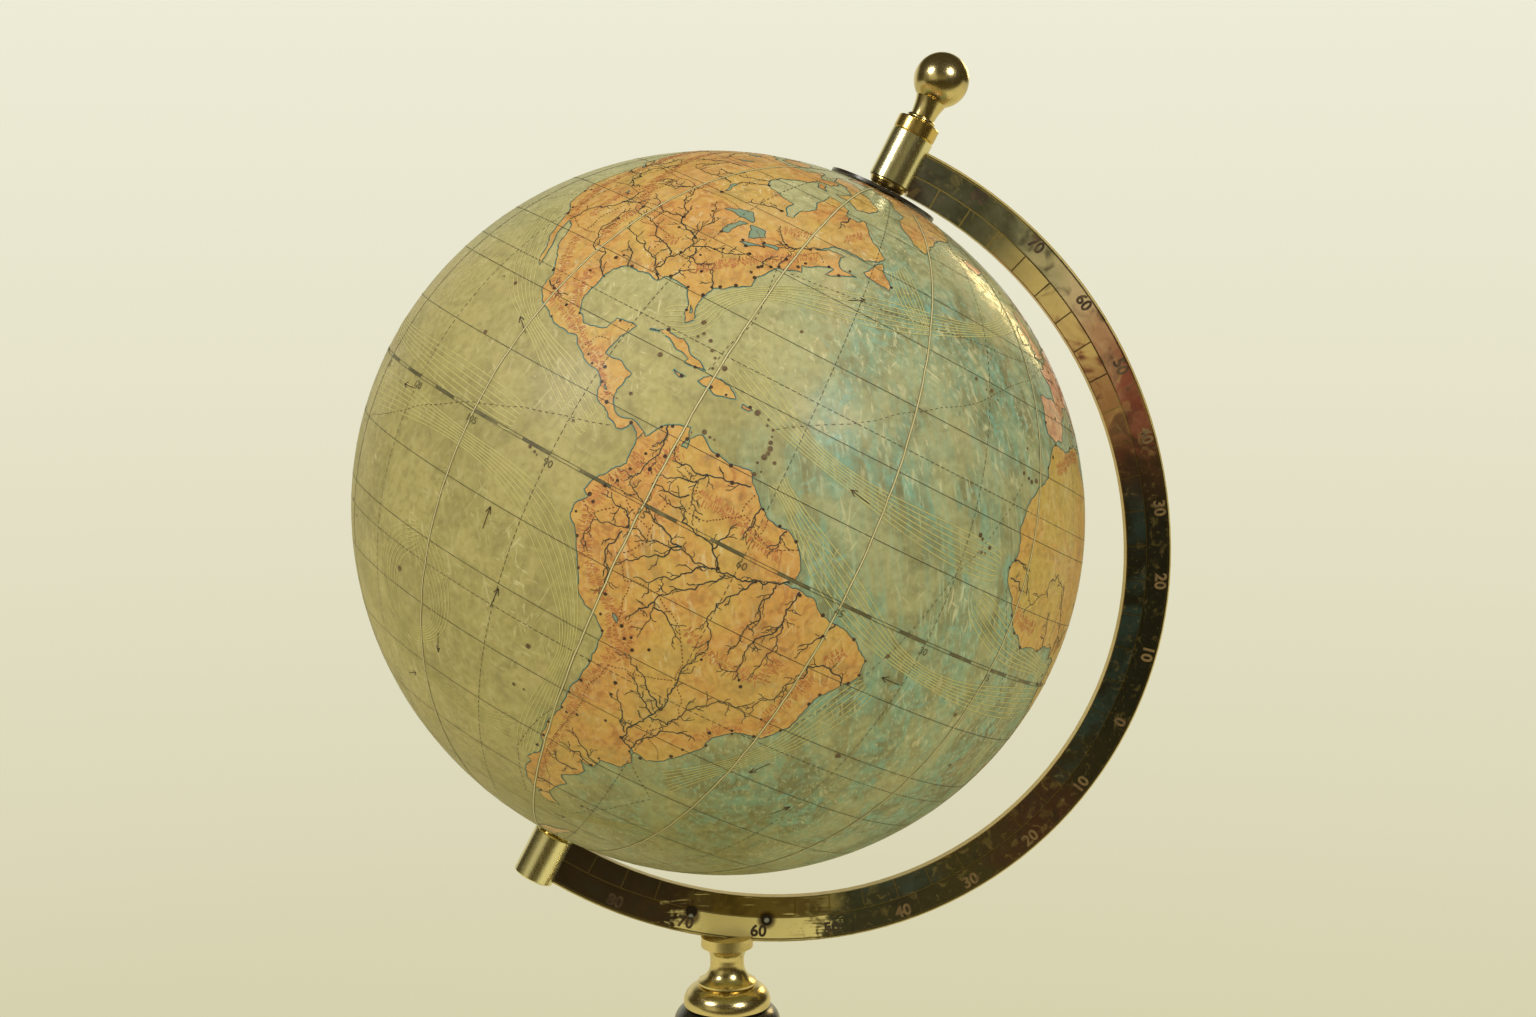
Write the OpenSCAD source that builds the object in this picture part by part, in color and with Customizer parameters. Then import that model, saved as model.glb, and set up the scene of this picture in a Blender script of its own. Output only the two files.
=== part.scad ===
// Table globe on a turned ebonised stand, carried in a brass half meridian.
// The origin is the centre of the base's underside, on the column's axis.
// X runs to the right in the plane of the half meridian, Z is up.

/* [Globe] */
// Diameter of the globe over its paper, across the equator
globe_d = 162; // [158:1:164]
// Amount by which the globe is lower from pole to pole than across the equator
globe_flattening = 3.4; // [2.4:0.2:4.4]
// Tilt of the globe's axis from the vertical, in degrees
axis_tilt = 27.4; // [24:0.1:29]
// Turn of the globe about its axis at rest, as the angle of its first gore seam
globe_turn = 12.3; // [0:0.1:29]
// Number of printed gores round the globe
gore_count = 12; // [8:2:18]
// Thickness of the printed paper
paper_t = 0.25; // [0.2:0.05:0.35]
// Thickness of the plaster ground under the paper
plaster_t = 1.15; // [0.9:0.05:1.4]
// Wall of the two papier-mache half shells
shell_t = 2; // [1.6:0.1:2.6]
// Diameter of the wooden pole inside the globe
core_d = 16; // [14:0.5:18]

/* [Half meridian] */
// Width of the brass band
band_w = 10.5; // [9:0.25:11.5]
// Thickness of the brass band
band_t = 2.8; // [2:0.1:3.4]
// Centreline radius of the middle stretch of the band
mid_r = 81; // [80.5:0.25:83]
// Centreline radius of the two flatter end stretches
end_r = 96.5; // [95:0.5:98]
// Centre of the middle stretch, to the right of the globe's centre
mid_x = 17.2; // [16.8:0.1:18]
// Centre of the middle stretch, below the globe's centre
mid_drop = 12.4; // [12:0.1:13]
// Depth of the engraved lines
groove_depth = 0.15; // [0.15:0.05:0.3]

/* [Pivots] */
// Diameter of the two pivot pins
pin_d = 3; // [2.6:0.1:3.2]
// Diameter of the upper barrel and of the collar above it
upper_barrel_d = 9.6; // [9.2:0.1:10]
// Length of the upper barrel
upper_barrel_l = 11.6; // [11.2:0.1:12]
// Diameter of the lower barrel
lower_barrel_d = 9.2; // [8.8:0.1:9.8]
// Length of the lower barrel
lower_barrel_l = 11; // [10:0.5:12]
// Diameter of the ball on the finial
ball_d = 12.2; // [11.5:0.1:13]
// Diameter of the dark disc at the north pole
hour_disc_d = 25; // [22:0.5:27]

/* [Stand] */
// Diameter of the base
base_d = 146; // [136:1:156]
// Height of the base over the table, with its baize
base_h = 20; // [20:0.5:22]
// Height of the turned column over the base
column_h = 101; // [100:1:112]
// Largest radius of the column's top bead
top_bead_r = 12.2; // [11.8:0.1:12.8]
// Diameter of the iron rod that ties the stand together
rod_d = 5; // [4.5:0.5:5.5]

/* [Hidden] */
$fn = 96;

brass = "#b8963f";
tarnished = "#6f6a3a";
ebony = "#16130f";
iron = "#4a4a4c";
card = "#b9a583";
chalk = "#d9d2bf";
map_paper = "#8f9468";
baize = "#2f4a35";

// Oval profile of the globe: a side arc and two pole arcs that meet at 45 degrees
globe_r = globe_d / 2;
pole_r = globe_r - globe_flattening / 2;
oval_c = (globe_r - pole_r) / (2 - sqrt(2));
side_arc_r = globe_r - oval_c;
pole_arc_r = pole_r + oval_c;

// Half meridian: centres of its end stretches, relative to the globe's centre
mid_c = [mid_x, -mid_drop];
join_up = -0.7;
// Turn of the middle stretch: its sine and cosine have five places, so the stretches meet
band_turn = acos(0.07584);
join_low = join_up - band_turn;
up_turn = 69;
low_turn = 41.5;
up_c = mid_c + (mid_r - end_r) * [cos(join_up), sin(join_up)];
low_c = mid_c + (mid_r - end_r) * [cos(join_low), sin(join_low)];
zero_mark = -26.4;
scale_step = 8.2;
scale_marks = 17;
up_run = (join_up - zero_mark) * PI / 180 * mid_r;
low_run = (zero_mark - join_low) * PI / 180 * mid_r;
groove_w = 0.35;
border_inset = 0.75;
mid_line = 0.45;
edge_round = 0.3;
seat_round = 0.7;

// Stand heights, from the table up
globe_x = -1.5;
baize_t = 1;
column_z = base_h;
column_top = column_z + column_h;
ferrule_h = 4.5;
neck_z = column_top + ferrule_h;
neck_seat = 10.8;
band_low = low_c[1] - sqrt(pow(end_r + band_w / 2, 2) - pow(globe_x + low_c[0], 2));
globe_z = neck_z + neck_seat - band_low;

// Places along the globe's axis, from the globe's centre
bush_seat = pole_r - 0.45;
flange_t = 0.5;
flange_r = 5;
bush_r = 3.5;
bush_depth = 13;
boss_r = 3.2;
boss_top = pole_r + 1.05;
disc_gap = 0.35;
disc_t = 0.6;
fit = 0.05;
nose_z = boss_top + 0.15;
nose_r = 4;
nose_step = 0.5;
skirt_r = 4.3;
skirt_h = 0.3;
barrel_bevel = 0.25;
barrel_z = nose_z + 1.5;
barrel_top = barrel_z + upper_barrel_l;
bush_stem_top = barrel_z + 5;
shank_d = 5;
shank_z = bush_stem_top + 0.3;
collar_h = 3.2;
collar_top = barrel_top + collar_h;
ball_z = collar_top + 10.4;
finial_waist_r = 2.7;
finial_hollow_r = 15.5;
finial_neck_h = 6.2;
finial_bead_r = 3.3;
finial_bead_round = 0.6;
pin_tip = boss_top - 3.55;
pin_top = shank_z + 4.7;
lower_z = -(pole_r + 1.7);
lower_end = lower_z - lower_barrel_l;
washer_t = 0.8;
head_r = 3;
head_h = 1.2;

// Globe layers, as depths under the paper's surface
plaster_d = paper_t;
shell_d = paper_t + plaster_t;
inner_d = shell_d + shell_t;
core_end = -oval_c + sqrt(pow(pole_arc_r - inner_d, 2) - pow(core_d / 2, 2)) - 0.05;
seam_gap = 0.12;
cap_r = 13.5;
tack_r = 0.6;
tack_head_r = 1.5;
tack_ring = 6;
tack_seat = -oval_c + sqrt(pow(pole_arc_r - shell_d, 2)
    - pow(tack_ring + tack_head_r, 2)) - 0.5;
tack_l = 8;

// Tongue behind the band and its two rivets
bracket_t = 2.6;
bracket_half = 12.5;
stem_half = 3;
stem_foot = 8.6;
rivet_angle = 5.15;
rivet_r = 1.3;
rivet_head_r = 2.2;
rivet_mid = -98.6;

// Turned brass between the column and the band
bead_out_r = 6.65;
neck_bead_h = 5.1;
bead_bevel = 0.7;
flare_r = 4.5;
throat_r = 3;
waist_r = 3.85;
neck_flange_r = 5.95;
neck_flange_z = neck_z + 9.2;
neck_top = neck_z + neck_seat + 0.6;
ferrule_r = 9.9;
ferrule_round = 3.8;
rod_top = neck_z + 6.2;

// Turned wood of the column: foot, belly, hollow neck and beads
belly_r = 14.5;
belly_arc = 25;
belly_z = column_z + 32;
stem_r = 7;
stem_arc = 40;
stem_z = belly_z + sqrt(pow(belly_arc + stem_arc - 0.1, 2)
    - pow(stem_arc + stem_r - belly_r + belly_arc, 2));
turn_z = belly_z + (stem_z - belly_z) * belly_arc / (belly_arc + stem_arc);
foot_r = 15.5;
foot_h = 4;
foot_bead_r = 13.5;
foot_bead_round = 2.5;
foot_cove_r = 4;
ankle_r = 9;
shoulder_r = 12;
shoulder_h = 1.6;
mid_bead_r = 10.6;
mid_bead_round = 2;
throat_cove_r = 3;
throat_x = 11.5;
top_bead_round = 4.2;

// Turned wood of the base and the recess for the nut
rim_round = 4;
platform_r = 28;
step_r = base_d / 2 - 7;
step_h = 10.5;
fillet_w = 8;
fillet_h = 2.5;
base_cove_r = 21.5;
platform_bead = 2.5;
recess_d = 18;
recess_top = baize_t + 5.6;
washer_z = recess_top - 1.1;
nut_h = 3.8;
nut_d = 9.2;

module globe_frame() {
    translate([globe_x, 0, globe_z]) rotate([0, axis_tilt, 0]) children();
}

module ring_plane() {
    translate([globe_x, 0, globe_z]) rotate([90, 0, 0]) children();
}

// Right half of the globe's oval, drawn inward by depth
module oval_half(depth) {
    intersection() {
        union() {
            intersection() {
                translate([0, -oval_c]) circle(pole_arc_r - depth);
                translate([0, oval_c]) circle(pole_arc_r - depth);
                square([sqrt(2) * (pole_arc_r - depth), 2 * globe_r], center = true);
            }
            translate([oval_c, 0]) circle(side_arc_r - depth);
        }
        translate([0, -globe_r]) square([globe_r + 2, globe_d]);
    }
}

// Wall between two depths of the globe, as a half section
module oval_wall(outer, inner) {
    difference() {
        oval_half(outer);
        oval_half(inner);
    }
}

// Plain tube between two heights
module tube(r_out, r_in, z0, z1) {
    translate([0, 0, z0]) difference() {
        cylinder(r = r_out, h = z1 - z0);
        translate([0, 0, -1]) cylinder(r = r_in, h = z1 - z0 + 2);
    }
}

// Solid barrel with bevelled ends, between two heights
module barrel(r, z0, z1) rotate_extrude() polygon([[0, z0], [r - barrel_bevel, z0],
    [r, z0 + barrel_bevel], [r, z1 - barrel_bevel], [r - barrel_bevel, z1], [0, z1]]);

// Places its child on both poles, the second one turned over
module both_poles() {
    children();
    mirror([0, 0, 1]) children();
}

// Sweeps its child along a stretch of the band, as its section
module band_stretch(r, angle) translate([mid_r - r, 0]) rotate_extrude(angle = angle)
    translate([r, 0]) children();

// Frame of the lower join, within that of the upper join
module low_join() rotate([0, 0, -band_turn]) children();

// Sweeps its child along the whole half meridian
module along_band() translate(mid_c) rotate([0, 0, join_up]) {
    band_stretch(end_r, up_turn) children();
    intersection() {
        mirror([0, 1, 0]) band_stretch(mid_r, band_turn + 2) children();
        low_join() translate([-10, 0, -20]) cube([150, 150, 40]);
    }
    low_join() mirror([0, 1, 0]) band_stretch(end_r, low_turn) children();
}

// Cross-section of the band: the outer front edge is well rounded
module band_section() {
    half_w = band_w / 2;
    half_t = band_t / 2;
    difference() {
        square([band_w, band_t], center = true);
        translate([half_w, half_t]) rotate(45) square(seat_round, center = true);
        translate([half_w, -half_t]) rotate(45) square(edge_round, center = true);
        translate([-half_w, half_t]) rotate(45) square(edge_round, center = true);
        translate([-half_w, -half_t]) rotate(45) square(edge_round, center = true);
    }
}

// Groove of the engraving at a distance from the centreline
module band_groove(at) {
    translate([at - groove_w / 2, band_t / 2 - groove_depth])
        square([groove_w, groove_depth + 1]);
}

// Angle turned along a stretch of the band for a length of centreline
function turn(length, r) = length / r * 180 / PI;
// Places its child on the band's centreline, at a distance from the zero mark
module on_band(length) {
    if (length > up_run)
        translate(up_c) rotate(join_up + turn(length - up_run, end_r))
            translate([end_r, 0]) children();
    else if (length < -low_run)
        translate(low_c) rotate(join_low + turn(length + low_run, end_r))
            translate([end_r, 0]) children();
    else
        translate(mid_c) rotate(zero_mark + turn(length, mid_r))
            translate([mid_r, 0]) children();
}

module scale_ticks() {
    tick_l = mid_line * band_w;
    for (i = [-scale_marks:scale_marks])
        on_band(i * scale_step)
            translate([-band_w / 2 - 1, -groove_w / 2, band_t / 2 - groove_depth])
                cube([tick_l + 1, groove_w, groove_depth + 1]);
}

module barrel_cut(r, z0, z1) {
    rotate([-90, 0, 0]) rotate([0, axis_tilt, 0]) translate([0, 0, z0])
        cylinder(r = r, h = z1 - z0);
}

module rivet_places() {
    for (side = [-1, 1])
        translate(low_c) rotate(rivet_mid + side * rivet_angle)
            translate([end_r, 0]) children();
}

// Band trimmed at its barrels and bored for the rivets
module trimmed_band() difference() {
    along_band() band_section();
    barrel_cut(upper_barrel_d / 2, barrel_z - 8, barrel_top + 8);
    barrel_cut(lower_barrel_d / 2, lower_end - 8, lower_z + 8);
    end_trim();
    rivet_places() cylinder(r = rivet_r, h = 3 * band_t, center = true);
}

// Half meridian with its border line, its mid line and the marks of its scale
module meridian_arc() color(tarnished) ring_plane() difference() {
    difference() {
        difference() {
            trimmed_band();
            along_band() band_groove(band_w / 2 - border_inset);
        }
        along_band() band_groove((mid_line - 0.5) * band_w);
    }
    scale_ticks();
}

// Takes off what would stand past the barrels
module end_trim() {
    rotate([-90, 0, 0]) rotate([0, axis_tilt, 0])
        translate([-60, -10, -150]) cube([60, 20, 300]);
}

module ring_bracket() color(brass) difference() {
    union() {
        ring_plane() translate([0, 0, -band_t / 2 - bracket_t])
            linear_extrude(bracket_t) intersection() {
                translate(low_c) difference() {
                    circle(end_r + band_w / 2);
                    circle(end_r - band_w / 2 + 1);
                }
                translate([-globe_x - bracket_half, -globe_r - 40])
                    square([2 * bracket_half, 40]);
            }
        bracket_stem();
    }
    ring_plane() rivet_places() cylinder(r = rivet_r, h = 20, center = true);
}

// Stem of the bracket, which stands in the neck
module bracket_stem() translate([-stem_half, band_t / 2, neck_z + stem_foot])
    cube([2 * stem_half, bracket_t, neck_seat - stem_foot + 3]);

module bracket_rivets() color(iron) ring_plane() rivet_places() {
    translate([0, 0, -band_t / 2 - bracket_t])
        cylinder(r = rivet_r, h = band_t + bracket_t + 0.2);
    translate([0, 0, -band_t / 2 - bracket_t - 0.8]) cylinder(r = rivet_head_r, h = 0.8);
}

module upper_barrel() color(brass) globe_frame() translate([0, 0, barrel_z]) difference() {
    barrel(upper_barrel_d / 2, 0, upper_barrel_l);
    translate([0, 0, -1]) cylinder(r = bush_r, h = bush_stem_top - barrel_z + 1);
    cylinder(d = shank_d + 2 * fit, h = upper_barrel_l + 1);
}

// Bush in the upper barrel, with the stepped nose that shows below it
module upper_bush() color(brass) globe_frame() difference() {
    rotate_extrude() polygon([[0, nose_z], [bush_r, nose_z], [nose_r, nose_z + nose_step],
        [skirt_r, barrel_z - skirt_h], [skirt_r, barrel_z], [bush_r, barrel_z],
        [bush_r, bush_stem_top], [0, bush_stem_top]]);
    translate([0, 0, nose_z - 1]) cylinder(d = pin_d + 2 * fit, h = 10);
}

module lower_barrel() color(brass) globe_frame() difference() {
    barrel(lower_barrel_d / 2, lower_end, lower_z);
    translate([0, 0, lower_end - 1]) cylinder(d = pin_d, h = lower_barrel_l + 2);
    translate([0, 0, lower_end - 1]) cylinder(r = head_r, h = head_h + 1);
}

// Pin screwed up through the lower barrel, with a slotted head
module lower_pin() color(iron) globe_frame() difference() {
    union() {
        translate([0, 0, lower_end]) cylinder(d = pin_d, h = -pin_tip - lower_end);
        translate([0, 0, lower_end]) cylinder(r = head_r, h = head_h);
    }
    translate([-head_r - 1, -0.4, lower_end - 1]) cube([2 * head_r + 2, 0.8, 1.6]);
}

module thrust_washer() color(brass) globe_frame()
    tube(bush_r, pin_d / 2 + fit, lower_z, lower_z + washer_t);

// Stem hole and flange seat of a pole bush, cut from a layer of the globe
module bush_cut() {
    cylinder(r = bush_r, h = globe_r + 5);
    translate([0, 0, bush_seat]) cylinder(r = flange_r + fit, h = 5);
}

// Half shell of papier-mache, open at the equator
module half_shell() difference() {
    rotate_extrude() intersection() {
        oval_wall(shell_d, inner_d);
        square([globe_r + 1, globe_r + 1]);
    }
    bush_cut();
    tack_places() tack_hole();
}

module north_shell() color(card) globe_frame() half_shell();

module south_shell() color(card) globe_frame() mirror([0, 0, 1]) half_shell();

module tack_places() {
    for (i = [0:3])
        rotate([0, 0, 45 + 90 * i]) translate([tack_ring, 0, 0]) children();
}

// Straight hole for a tack, with a sunk seat for its head
module tack_hole() {
    translate([0, 0, core_end - tack_l]) cylinder(r = tack_r, h = 30);
    translate([0, 0, tack_seat]) cylinder(r = tack_head_r, h = 20);
}

// Tacks that pin the shells to the ends of the wooden pole
module shell_tacks() color(iron) globe_frame() both_poles() tack_places() {
    translate([0, 0, core_end - tack_l]) cylinder(r = tack_r, h = tack_seat - core_end + tack_l);
    translate([0, 0, tack_seat]) cylinder(r = tack_head_r, h = 0.4);
}

module core_pole() color("#a58a5c") globe_frame() difference() {
    translate([0, 0, -core_end]) cylinder(d = core_d, h = 2 * core_end);
    both_poles() {
        translate([0, 0, bush_seat - bush_depth]) cylinder(r = bush_r, h = 30);
        tack_places() translate([0, 0, core_end - tack_l]) cylinder(r = tack_r, h = 30);
    }
}

module plaster_coat() color(chalk) globe_frame() difference() {
    rotate_extrude() oval_wall(plaster_d, shell_d);
    both_poles() bush_cut();
}

// Half section of the paper between the two polar caps
module gore_section() difference() {
    oval_wall(0, plaster_d);
    square([2 * cap_r, 4 * globe_r], center = true);
}

module paper_gores() color(map_paper) globe_frame() {
    gap_angle = seam_gap / globe_r * 180 / PI;
    step = 360 / gore_count;
    for (i = [0:gore_count - 1])
        rotate([0, 0, globe_turn + i * step + gap_angle / 2])
            rotate_extrude(angle = step - gap_angle) gore_section();
}

// Round paper caps that cover the gores' tips
module polar_caps() color(map_paper) globe_frame() both_poles() rotate_extrude()
    intersection() {
        oval_wall(0, plaster_d);
        translate([flange_r + fit, 0]) square([cap_r - seam_gap - flange_r - fit, globe_r]);
    }

// Flanged brass bush in a pole of the globe, with a boss outside
module pole_bush(boss_h) difference() {
    union() {
        translate([0, 0, bush_seat - bush_depth]) cylinder(r = bush_r, h = bush_depth);
        translate([0, 0, bush_seat]) cylinder(r = flange_r, h = flange_t);
        translate([0, 0, bush_seat]) cylinder(r = boss_r, h = boss_h);
    }
    translate([0, 0, bush_seat - bush_depth - 1])
        cylinder(d = pin_d + 2 * fit, h = bush_depth + 10);
}

module north_bush() color(brass) globe_frame() pole_bush(boss_top - bush_seat);

module south_bush() color(brass) globe_frame() mirror([0, 0, 1])
    pole_bush(-lower_z - washer_t - 0.15 - bush_seat);

// Thin dished disc that turns on the north bush's boss
module hour_disc() color("#1d1b16") globe_frame() difference() {
    rotate_extrude() intersection() {
        oval_wall(-disc_gap - disc_t, -disc_gap);
        translate([0, pole_r / 2]) square([hour_disc_d / 2, pole_r]);
    }
    cylinder(r = boss_r + fit, h = globe_r + 5);
}

// Ball, its hollow-sided neck and the screwed shank below
module finial() color(brass) globe_frame() difference() {
    rotate_extrude() union() {
        translate([0, ball_z]) intersection() {
            circle(d = ball_d);
            translate([0, -ball_d]) square(2 * ball_d);
        }
        difference() {
            translate([0, collar_top]) square([finial_waist_r + 2, finial_neck_h]);
            translate([finial_waist_r + finial_hollow_r, collar_top + 0.4])
                circle(finial_hollow_r);
        }
        bead(finial_bead_r, collar_top + finial_bead_round, finial_bead_round);
        translate([0, shank_z]) square([shank_d / 2, collar_top + 1 - shank_z]);
    }
    translate([0, 0, shank_z - 1])
        cylinder(d = pin_d + 2 * fit, h = pin_top + 0.2 - shank_z + 1);
}

module finial_collar() color(brass) globe_frame() difference() {
    barrel(upper_barrel_d / 2, barrel_top, collar_top);
    translate([0, 0, barrel_top - 1]) cylinder(d = shank_d, h = collar_h + 2);
}

module pivot_pin() color(iron) globe_frame() rotate_extrude() polygon([[0, pin_tip],
    [pin_d / 2 - 0.4, pin_tip], [pin_d / 2, pin_tip + 0.5], [pin_d / 2, pin_top], [0, pin_top]]);

// Round-edged disc of the stand's turning, as a half section
module bead(r, z, round_r) {
    translate([r - round_r, z]) circle(round_r);
    translate([0, z - round_r]) square([r - round_r, 2 * round_r]);
}

// Hollow of the stand's turning, cut from a half section
module cove(x, z, r) translate([x, z]) circle(r);

module rod_bore(z0, z1) translate([0, 0, z0]) cylinder(d = rod_d, h = z1 - z0);

// Neck with a bead at its foot and a flange under the band
module neck() color(brass) difference() {
    rotate_extrude() difference() {
        union() {
            translate([0, neck_z]) square([bead_out_r, neck_bead_h]);
            translate([0, neck_z]) square([waist_r, neck_flange_z - neck_z]);
            translate([0, neck_flange_z - throat_r])
                square([neck_flange_r, neck_top - neck_flange_z + throat_r]);
        }
        cove(waist_r + flare_r, neck_z + neck_bead_h, flare_r);
        cove(waist_r + throat_r, neck_flange_z - throat_r, throat_r);
        translate([bead_out_r, neck_z]) rotate(45) square(bead_bevel, center = true);
    }
    rod_bore(neck_z - 1, rod_top);
    ring_plane() along_band() square([band_w, band_t], center = true);
    bracket_stem();
    ring_plane() translate([0, 0, -band_t / 2 - bracket_t])
        linear_extrude(bracket_t) translate(low_c) circle(end_r + band_w / 2);
}

// Domed brass cap over the top of the column
module ferrule() color(brass) difference() {
    rotate_extrude() intersection() {
        bead(ferrule_r, column_top + ferrule_h - ferrule_round, ferrule_round);
        translate([0, column_top]) square([ferrule_r, ferrule_h]);
    }
    rod_bore(column_top - 1, neck_z + 1);
}

// Column: from the foot up a bead, a cove, the belly, the hollow stem and two beads
module column() color(ebony) difference() {
    mid_bead_z = column_top - 15.5;
    shoulder_top = mid_bead_z - mid_bead_round + 0.4;
    foot_bead_z = column_z + foot_h + foot_bead_round - 0.4;
    rotate_extrude() difference() {
        union() {
            translate([0, column_z]) square([foot_r, foot_h]);
            bead(foot_bead_r, foot_bead_z, foot_bead_round);
            translate([0, column_z]) square([ankle_r, 18]);
            intersection() {
                translate([belly_r - belly_arc, belly_z]) circle(belly_arc);
                translate([0, column_z]) square([belly_r, belly_z + belly_arc - column_z]);
            }
            translate([0, turn_z]) square([shoulder_r, shoulder_top - turn_z]);
            translate([0, column_top - 20]) square([ankle_r, 20]);
            bead(mid_bead_r, mid_bead_z, mid_bead_round);
            bead(top_bead_r, column_top - top_bead_round - 0.2, top_bead_round);
        }
        cove(ankle_r - 0.6 + foot_cove_r, column_z + 13, foot_cove_r);
        cove(stem_r + stem_arc, stem_z, stem_arc);
        cove(throat_x, column_top - 11, throat_cove_r);
        translate([shoulder_r, shoulder_top - shoulder_h / 2]) rotate(45)
            square(shoulder_h / 2, center = true);
    }
    rod_bore(column_z - 1, column_top + 1);
}

module base_disc() color(ebony) difference() {
    rotate_extrude() difference() {
        union() {
            bead(base_d / 2, baize_t + rim_round, rim_round);
            translate([0, baize_t]) square([base_d / 2 - rim_round, 2 * rim_round]);
            translate([0, baize_t]) square([step_r, step_h]);
            translate([0, baize_t]) square([step_r - fillet_w, step_h + fillet_h]);
            translate([0, baize_t]) square([platform_r, base_h - baize_t]);
            bead(platform_r + 1, base_h - platform_bead, platform_bead);
        }
        cove(step_r - fillet_w - 1, baize_t + step_h + base_cove_r - 0.4, base_cove_r);
    }
    rod_bore(0, base_h + 1);
    cylinder(d = recess_d, h = recess_top);
}

// Baize that covers the whole underside, the nut's recess too
module base_baize() color(baize) cylinder(d = base_d - 2 * rim_round, h = baize_t);

module tie_rod() color(iron) rod_bore(baize_t + 0.6, rod_top);

module rod_washer() color(iron) tube(recess_d / 2 - 1, rod_d / 2, washer_z, recess_top);

module rod_nut() color(iron) translate([0, 0, washer_z - nut_h]) difference() {
    cylinder(d = nut_d, h = nut_h, $fn = 6);
    translate([0, 0, -1]) cylinder(d = rod_d, h = nut_h + 2);
}

base_disc();
base_baize();
column();
tie_rod();
rod_nut();
rod_washer();
ferrule();
neck();
ring_bracket();
bracket_rivets();
meridian_arc();
upper_barrel();
upper_bush();
lower_barrel();
lower_pin();
thrust_washer();
north_shell();
south_shell();
core_pole();
shell_tacks();
plaster_coat();
paper_gores();
polar_caps();
north_bush();
south_bush();
hour_disc();
finial();
finial_collar();
pivot_pin();
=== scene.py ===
"""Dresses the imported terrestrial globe: its map, its brass and wood, and the plain studio around it."""
import logging
import math
import random
from dataclasses import dataclass, field
from enum import Enum

import bmesh
import bpy
from bmesh.types import BMesh, BMVert
from bpy.types import Material, Node, NodeSocket, Object, World
from mathutils import Matrix, Vector


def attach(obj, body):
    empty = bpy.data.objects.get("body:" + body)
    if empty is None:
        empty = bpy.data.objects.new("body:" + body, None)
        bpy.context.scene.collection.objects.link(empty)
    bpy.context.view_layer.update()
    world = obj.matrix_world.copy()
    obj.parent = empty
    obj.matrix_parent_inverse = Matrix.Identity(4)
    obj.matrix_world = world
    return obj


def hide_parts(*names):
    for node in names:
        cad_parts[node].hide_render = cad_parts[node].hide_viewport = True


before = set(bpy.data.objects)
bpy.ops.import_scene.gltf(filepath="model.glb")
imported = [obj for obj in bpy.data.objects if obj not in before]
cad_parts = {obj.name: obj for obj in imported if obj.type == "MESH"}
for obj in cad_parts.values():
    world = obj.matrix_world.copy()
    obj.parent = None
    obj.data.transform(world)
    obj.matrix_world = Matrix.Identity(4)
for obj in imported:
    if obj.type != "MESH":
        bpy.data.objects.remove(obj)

logging.basicConfig(level=logging.INFO, format="%(message)s")
log = logging.getLogger("globe")

MM = 0.001
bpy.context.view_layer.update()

# Globe, in millimetres and degrees; FACING_WEST is the longitude on the shared frame's X axis,
# and FIRST_EAST that of the map's own first meridian
GLOBE_R = 81.0
GLOBE_POLE_R = 79.3
GLOBE_CENTRE = Vector((-1.5, 0.0, 233.912))
AXIS_TILT = 27.4
FACING_WEST = 35.04
FIRST_EAST = 2.34

# Half meridian's circles and rivets, from the globe's centre, in the plane of the band. The end circles
# touch the middle one at the angles BAND_JOIN and BAND_JOIN - BAND_TURN, and the scale's zero is at ZERO_MARK
BAND_MID = (17.2, -12.4)
BAND_MID_R = 81.0
BAND_END_R = 96.5
BAND_JOIN = -0.7
BAND_TURN = 85.6505
ZERO_MARK = -26.4
BAND_HALF = 1.4
RIVETS = ((-6.9, -91.7), (10.4, -93.3))

# Shift that puts the globe's centre at 0, in metres
FROM_GLOBE = tuple(GLOBE_CENTRE * -MM)

# Latitude where the polar caps begin and the net ends, in degrees
CAP_LAT = 80

# Font size of a digit of height 1, and the screen's level below which its curve is straight
NUMBER_SCALE = 1.38
SCREEN_CUT = 0.04045


def linear(red: float, green: float, blue: float) -> tuple[float, float, float, float]:
    """Turns a screen colour into the shader's linear one.

    Args:
        red: Red from 0 to 255.
        green: Green from 0 to 255.
        blue: Blue from 0 to 255.

    Returns:
        Linear red, green, blue and an alpha of 1.
    """
    def curve(level: float) -> float:
        """Undoes the screen's curve for one channel."""
        share = level / 255
        return share / 12.92 if share <= SCREEN_CUT else ((share + 0.055) / 1.055) ** 2.4
    return (curve(red), curve(green), curve(blue), 1.0)


def tinted(colour: object) -> object:
    """Makes a screen colour of three numbers linear.

    Args:
        colour: A screen colour, a linear colour of four numbers or a socket.

    Returns:
        The linear colour, or the socket or the four numbers as they are.
    """
    return linear(*colour) if isinstance(colour, tuple) and len(colour) == 3 else colour


def ray(angle: float) -> Vector:
    """Finds the unit vector of an angle in a plane.

    Args:
        angle: The angle in radians.

    Returns:
        A vector of two numbers.
    """
    return Vector((math.cos(angle), math.sin(angle)))


def polar(origin: tuple, angle: float, length: float) -> tuple[float, float]:
    """Finds the point at an angle and a length from another.

    Args:
        origin: The other point.
        angle: The angle in radians.
        length: How far it is.

    Returns:
        The point.
    """
    return origin[0] + length * math.cos(angle), origin[1] + length * math.sin(angle)


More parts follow.
